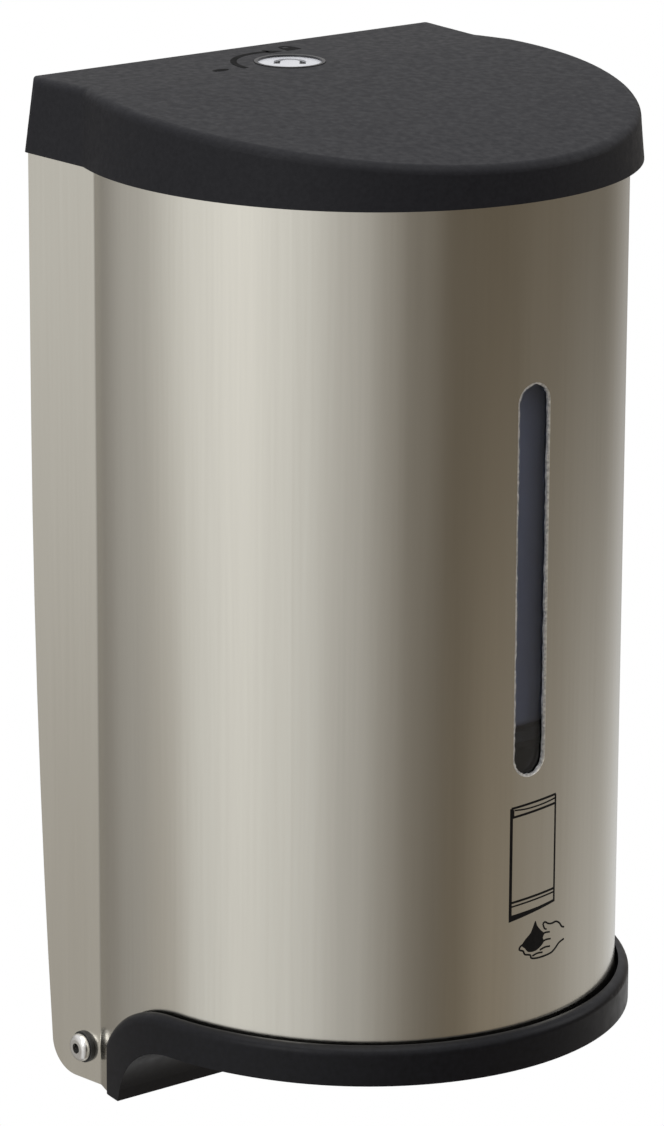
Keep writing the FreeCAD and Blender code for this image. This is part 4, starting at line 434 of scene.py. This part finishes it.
def on_screw(sign):
    """The floor of a hinge screw's socket."""
    low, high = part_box("hinge_screws")
    face = high.x if sign > 0 else low.x

    def put(u, v, rise):
        return Vector((face - sign * (SOCKET_DEPTH - rise), PIN_Y + u * sign, PIN_Z + v))

    return put


def container_mark():
    """Soap bottle: slanted square top, fill lines and a thick dark foot."""
    left, right, top, low = -5.6, 9.6, -38.9, -69.6
    slant = 0.9
    faces = stroke([(left, low + 0.6), (left, top)], 0.85)
    faces += stroke([(left, top), (right, top + slant)], 0.60)
    faces += stroke([(right, top + slant), (right, low + 2.6)], 0.50)
    faces += stroke(smooth_line([(left + 1.0, top - 0.6), (left + 5.4, top - 0.9), (right - 4.0, top - 0.6),
                                 (right, top + slant - 1.0)]), 0.40)
    faces += stroke([(left, top - 2.5), (right, top + slant - 2.4)], 0.62)
    faces += stroke([(left + 0.6, top - 0.4), (left + 0.6, top - 2.4)], 0.45)
    faces += stroke([(left, low + 5.0), (right, low + 5.9)], 0.60)
    faces += stroke([(left, low + 3.9), (right, low + 4.9)], 0.42)
    faces += filled([(left - 0.4, low - 0.2), (right + 0.25, low + 2.2), (right + 0.25, low + 2.9),
                     (right - 6.0, low + 2.2), (left - 0.4, low + 1.5)])
    return faces


def hand_mark():
    """Hand that reaches in from the right and closes round a heavy drop."""
    drop = [(2.9, -71.2), (3.5, -72.6), (4.9, -74.2), (6.1, -75.3), (5.6, -76.4), (6.0, -77.4),
            (5.2, -78.4), (3.0, -79.4), (0.6, -79.2), (-0.6, -78.0), (-1.6, -77.0), (-0.6, -75.6),
            (1.2, -74.2), (2.1, -72.7)]
    faces = filled(smooth_line(drop, 5, True))
    thumb = [(5.6, -72.6), (6.4, -72.3), (7.6, -73.0), (9.0, -73.3), (10.6, -73.2), (12.0, -74.0),
             (13.0, -75.2), (14.0, -75.6)]
    faces += stroke(smooth_line(thumb), 0.48)
    faces += stroke(smooth_line([(5.6, -72.6), (6.2, -74.0), (7.0, -74.4)]), 0.44)
    tips = [(-1.0, -76.6), (-2.2, -77.2), (-2.4, -78.0), (-1.2, -78.6), (-0.6, -79.6), (1.2, -80.2),
            (1.8, -81.2), (4.6, -81.6), (8.6, -81.4), (10.4, -80.6), (12.0, -79.4), (14.0, -78.9)]
    faces += stroke(smooth_line(tips), 0.48)
    fingers = ((4.8, 8.2, -75.6), (5.2, 8.6, -77.6), (4.6, 8.4, -79.6), (2.0, 5.6, -80.6))
    for start_u, end_u, level in fingers:
        finger = [(start_u, level), ((start_u + end_u) / 2, level + 0.35), (end_u, level + 0.15)]
        faces += stroke(smooth_line(finger), 0.46)
    return faces


def arrow_mark():
    """Bold curved arrow round the front left of the lock, with its head on the right."""
    lock_v = LOCK_Y / MM
    reach = ARROW_REACH
    inner, outer = reach - ARROW_HALF_HEAD, reach + ARROW_HALF_HEAD
    faces = stroke(arc((0, lock_v), reach, 182, 74, 40), ARROW_WIDTH)
    tip, base = math.radians(60), math.radians(78)
    faces += filled([
        (reach * math.cos(tip), lock_v + reach * math.sin(tip)),
        (outer * math.cos(base), lock_v + outer * math.sin(base)),
        (inner * math.cos(base), lock_v + inner * math.sin(base)),
    ])
    return faces


def padlock(x, y):
    """Small shut padlock: filled body and a bow."""
    faces = filled([(x - 2.3, y - 1.9), (x + 2.3, y - 1.9), (x + 2.3, y + 1.3), (x - 2.3, y + 1.3)])
    bow = [(x - 1.5, y + 1.2)] + arc((x, y + 2.0), 1.5, 180, 0, 14) + [(x + 1.5, y + 1.2)]
    return faces + stroke(bow, 0.8)


def almond(x, y, length, width):
    """Filled eye shape, pointed at both ends."""
    upper = arc((x, y), length / 2, 0, 180, 16, width / length)
    lower = arc((x, y), length / 2, 180, 360, 16, width / length)
    return filled(upper[:-1] + lower[:-1])


ink_piece("container_print", container_mark(), on_front, "cover", INK_AND_PAINTED_SHADE)
ink_piece("hand_print", hand_mark(), on_front, "cover", INK_AND_PAINTED_SHADE)
# Painted shade: a black ink sheet on the shallow keyway floor stands in for the shade inside a deep keyway.
keyway = [(KEY_RADIUS, -KEY_LEG / 2)] + arc((0, KEY_LEG / 2), KEY_RADIUS, 0, 180, 20)
keyway.append((-KEY_RADIUS, -KEY_LEG / 2))
ink_piece("keyway_shade", stroke(keyway, KEY_WIDTH), on_plug, "lock", INK_AND_PAINTED_SHADE)
# Painted shade: a black ink disc on each hinge screw socket floor stands in for the shade inside the socket.
socket = arc((0, 0), SOCKET_RADIUS, 0, 300, 5)
for side, sign in (("left", -1), ("right", 1)):
    ink_piece("socket_shade_" + side, filled(socket), on_screw(sign), "chassis", INK_AND_PAINTED_SHADE)
LID_INK = moulded("lid_print", (0.0012, 0.0012, 0.0012), 0.62, 0.00001, 1200, Specular_IOR_Level=0.05)
ink_piece("turn_arrow_print", arrow_mark(), on_lid, "cover", LID_INK)
ink_piece("dot_print", almond(-22.0, -23.0, 5.0, 2.6), on_lid, "cover", LID_INK)
ink_piece("shut_lock_print", padlock(11.2, -9.6), on_lid, "cover", LID_INK)


# ---------------------------------------------------------------- window edge

BURR_SIDE_STEPS, BURR_END_STEPS = 70, 26


def slot_edge():
    """Uneven burr that runs round the inside of the window."""
    draw = random.Random(7)
    half = SLOT_HALF / MM
    low, high = SLOT_LOW / MM + half, SLOT_HIGH / MM - half
    steps, end_steps = BURR_SIDE_STEPS, BURR_END_STEPS
    outline = [(half, low + (high - low) * step / steps) for step in range(steps)]
    outline += arc((0, high), half, 0, 180, end_steps)
    outline += [(-half, high - (high - low) * step / steps) for step in range(1, steps)]
    outline += arc((0, low), half, 180, 360, end_steps)[:-1]
    piece = bmesh.new()
    rings = []
    for u, v in outline:
        anchor = Vector((0, min(max(v, low), high)))
        inward = (anchor - Vector((u, v))).normalized()
        depth = (0.34 if u > 0 else 0.52) + 0.34 * draw.random()
        lip = Vector((u, v)) + inward * depth
        outer = Vector((u, v)) - inward * 0.02
        top_rise = (-0.12 - 0.10 * draw.random()) * MM
        rings.append([
            piece.verts.new(on_front(outer.x * MM, outer.y * MM, top_rise)),
            piece.verts.new(on_front(lip.x * MM, lip.y * MM, top_rise - 0.16 * MM)),
            piece.verts.new(on_front(lip.x * MM, lip.y * MM, -0.95 * MM)),
            piece.verts.new(on_front(outer.x * MM, outer.y * MM, -0.98 * MM)),
        ])
    for index, corners in enumerate(rings):
        after = rings[(index + 1) % len(rings)]
        for side in range(4):
            nxt = (side + 1) % 4
            piece.faces.new((corners[side], after[side], after[nxt], corners[nxt]))
    bmesh.ops.recalc_face_normals(piece, faces=piece.faces)
    mesh = bpy.data.meshes.new("slot_edge")
    piece.to_mesh(mesh)
    piece.free()
    mesh.materials.append(BURR.material)
    edge = bpy.data.objects.new("slot_edge", mesh)
    bpy.context.scene.collection.objects.link(edge)
    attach(edge, "cover")


slot_edge()


# ---------------------------------------------------------------- studio

def flat_emission(name, colour, strength):
    material = bpy.data.materials.new(name)
    material.use_nodes = True
    nodes = material.node_tree.nodes
    nodes.clear()
    glow = nodes.new("ShaderNodeEmission")
    glow.inputs["Color"].default_value = (*colour, 1)
    glow.inputs["Strength"].default_value = strength
    out = nodes.new("ShaderNodeOutputMaterial")
    material.node_tree.links.new(glow.outputs["Emission"], out.inputs["Surface"])
    return material


def stage_mesh(name, verts, faces, material):
    mesh = bpy.data.meshes.new(name)
    mesh.from_pydata(verts, [], faces)
    mesh.materials.append(material)
    item = bpy.data.objects.new(name, mesh)
    bpy.context.scene.collection.objects.link(item)
    return item


def studio():
    floor_z, size = FLOOR_LEVEL, STAGE_SIZE
    pale = flat_emission("pale_stage", (1.0, 1.0, 1.0), 1.0)
    corners = [(-size, -size, floor_z), (size, -size, floor_z), (size, size, floor_z), (-size, size, floor_z)]
    floor = stage_mesh("floor", corners, [(0, 1, 2, 3)], pale)
    count = 48
    ring = [(size * math.cos(2 * math.pi * step / count), size * math.sin(2 * math.pi * step / count))
            for step in range(count)]
    verts = [(x, y, floor_z) for x, y in ring] + [(x, y, size) for x, y in ring]
    faces = [(step, (step + 1) % count, count + (step + 1) % count, count + step) for step in range(count)]
    faces.append(tuple(range(count, 2 * count)))
    backdrop = stage_mesh("backdrop", verts, faces, pale)
    for item in (floor, backdrop):
        item.visible_glossy = False
        item.visible_diffuse = False
        item.visible_shadow = False
        item.visible_transmission = False
        item.visible_volume_scatter = False


def ramp(nodes, stops):
    """Brightness round the horizon: each stop is an angle from the front towards the right, and a colour."""
    node = nodes.new("ShaderNodeValToRGB")
    node.color_ramp.interpolation = "EASE"
    elements = node.color_ramp.elements
    while len(elements) > 1:
        elements.remove(elements[-1])
    for index, (angle, colour) in enumerate(stops):
        place = (angle + 180) / 360
        element = elements[0] if index == 0 else elements.new(place)
        element.position = place
        element.color = (*colour, 1)
    return node


def warm(value, brown=0.0):
    """Grey light of a strength, turned towards brown."""
    return (value, value * (1 - 0.16 * brown), value * (1 - 0.36 * brown))


UPPER_STOPS = [
    (-180, warm(0.27, 0.3)), (-150, warm(0.50, 0.1)), (-110, warm(0.90)), (-94, warm(0.98)),
    (-72, warm(0.82)), (-45, warm(0.55, 0.1)), (-28, warm(0.34, 0.3)), (-20, warm(0.215, 0.5)),
    (-13, warm(0.225, 0.5)), (-1, warm(0.13, 0.9)), (24, warm(0.12, 1.0)), (45, warm(0.15, 0.9)),
    (85, warm(0.17, 0.7)), (125, warm(0.36, 0.3)), (180, warm(0.27, 0.3)),
]
LOWER_STOPS = [
    (-180, warm(0.25, 0.4)), (-150, warm(0.36, 0.2)), (-131, warm(0.42, 0.3)), (-110, warm(0.70)),
    (-94, warm(0.78)), (-72, warm(0.69)), (-45, warm(0.48, 0.1)), (-28, warm(0.33, 0.3)),
    (-20, warm(0.24, 0.5)), (-8, warm(0.18, 0.7)), (0, warm(0.18, 0.9)), (22, warm(0.29, 0.8)),
    (45, warm(0.34, 0.5)), (85, warm(0.50, 0.2)), (125, warm(0.70)), (180, warm(0.25, 0.4)),
]
OVERHEAD = (0.87, 0.87, 0.89)


def surroundings():
    """Soft light: a wide bright wall on the left, a dark one in front, pale light from above."""
    world = bpy.data.worlds.new("studio")
    bpy.context.scene.world = world
    world.use_nodes = True
    tree = world.node_tree
    nodes = tree.nodes
    link = tree.links.new
    direction = nodes.new("ShaderNodeTexCoord").outputs["Generated"]
    split = nodes.new("ShaderNodeSeparateXYZ")
    link(direction, split.inputs["Vector"])
    back = nodes.new("ShaderNodeMath")
    back.operation = "MULTIPLY"
    back.inputs[1].default_value = -1
    link(split.outputs["Y"], back.inputs[0])
    angle = nodes.new("ShaderNodeMath")
    angle.operation = "ARCTAN2"
    link(split.outputs["X"], angle.inputs[0])
    link(back.outputs[0], angle.inputs[1])
    place = nodes.new("ShaderNodeMapRange")
    place.inputs["From Min"].default_value = -math.pi
    place.inputs["From Max"].default_value = math.pi
    link(angle.outputs[0], place.inputs["Value"])
    upper, lower = ramp(nodes, UPPER_STOPS), ramp(nodes, LOWER_STOPS)
    for band in (upper, lower):
        link(place.outputs["Result"], band.inputs["Fac"])

    def blend_by_height(low, high, first, second):
        share = nodes.new("ShaderNodeMapRange")
        share.interpolation_type = "SMOOTHSTEP"
        share.inputs["From Min"].default_value = low
        share.inputs["From Max"].default_value = high
        link(split.outputs["Z"], share.inputs["Value"])
        mix = nodes.new("ShaderNodeMix")
        mix.data_type = "RGBA"
        link(share.outputs["Result"], mix.inputs[0])
        for socket, source in ((6, first), (7, second)):
            if isinstance(source, tuple):
                mix.inputs[socket].default_value = (*source, 1)
            else:
                link(source, mix.inputs[socket])
        return mix.outputs[2]

    walls = blend_by_height(-0.36, -0.20, lower.outputs["Color"], upper.outputs["Color"])
    whole = blend_by_height(0.02, 0.55, walls, OVERHEAD)
    link(whole, nodes["Background"].inputs["Color"])
    nodes["Background"].inputs["Strength"].default_value = 1.0


def softbox(name, place, aim, size, power):
    light = bpy.data.lights.new(name, "AREA")
    light.shape = "RECTANGLE"
    light.size, light.size_y = size
    light.energy = power
    item = bpy.data.objects.new(name, light)
    bpy.context.scene.collection.objects.link(item)
    item.location = place
    item.rotation_mode = "QUATERNION"
    item.rotation_quaternion = (Vector(aim) - Vector(place)).to_track_quat("-Z", "Y")
    return item


def camera():
    """Long lens, a little above the dispenser and to its left."""
    place = Vector((-0.8492, -1.1190, 0.4006))
    target = Vector((-0.01257, -0.0600, 0.0136))
    data = bpy.data.cameras.new("camera")
    data.lens = 171.2
    data.sensor_width = 36
    data.sensor_fit = "AUTO"
    data.shift_x = -0.0026
    data.shift_y = -0.0014
    data.clip_start = 0.05
    data.clip_end = 60
    item = bpy.data.objects.new("camera", data)
    bpy.context.scene.collection.objects.link(item)
    turn = (target - place).to_track_quat("-Z", "Y")
    item.rotation_mode = "QUATERNION"
    item.rotation_quaternion = turn @ Euler((0, 0, math.radians(0.274))).to_quaternion()
    item.location = place
    bpy.context.scene.camera = item


studio()
surroundings()
softbox("overhead_softbox", (-0.3, -0.2, 1.5), (0, -0.06, 0), (1.6, 1.2), 9)
softbox("left_softbox", (-1.7, -0.5, 0.9), (0, -0.06, 0), (0.8, 1.2), 6)
softbox("right_softbox", (1.6, -0.9, 0.8), (0, -0.06, 0), (0.8, 1.2), 4)
camera()
bpy.context.scene.view_settings.view_transform = "Standard"
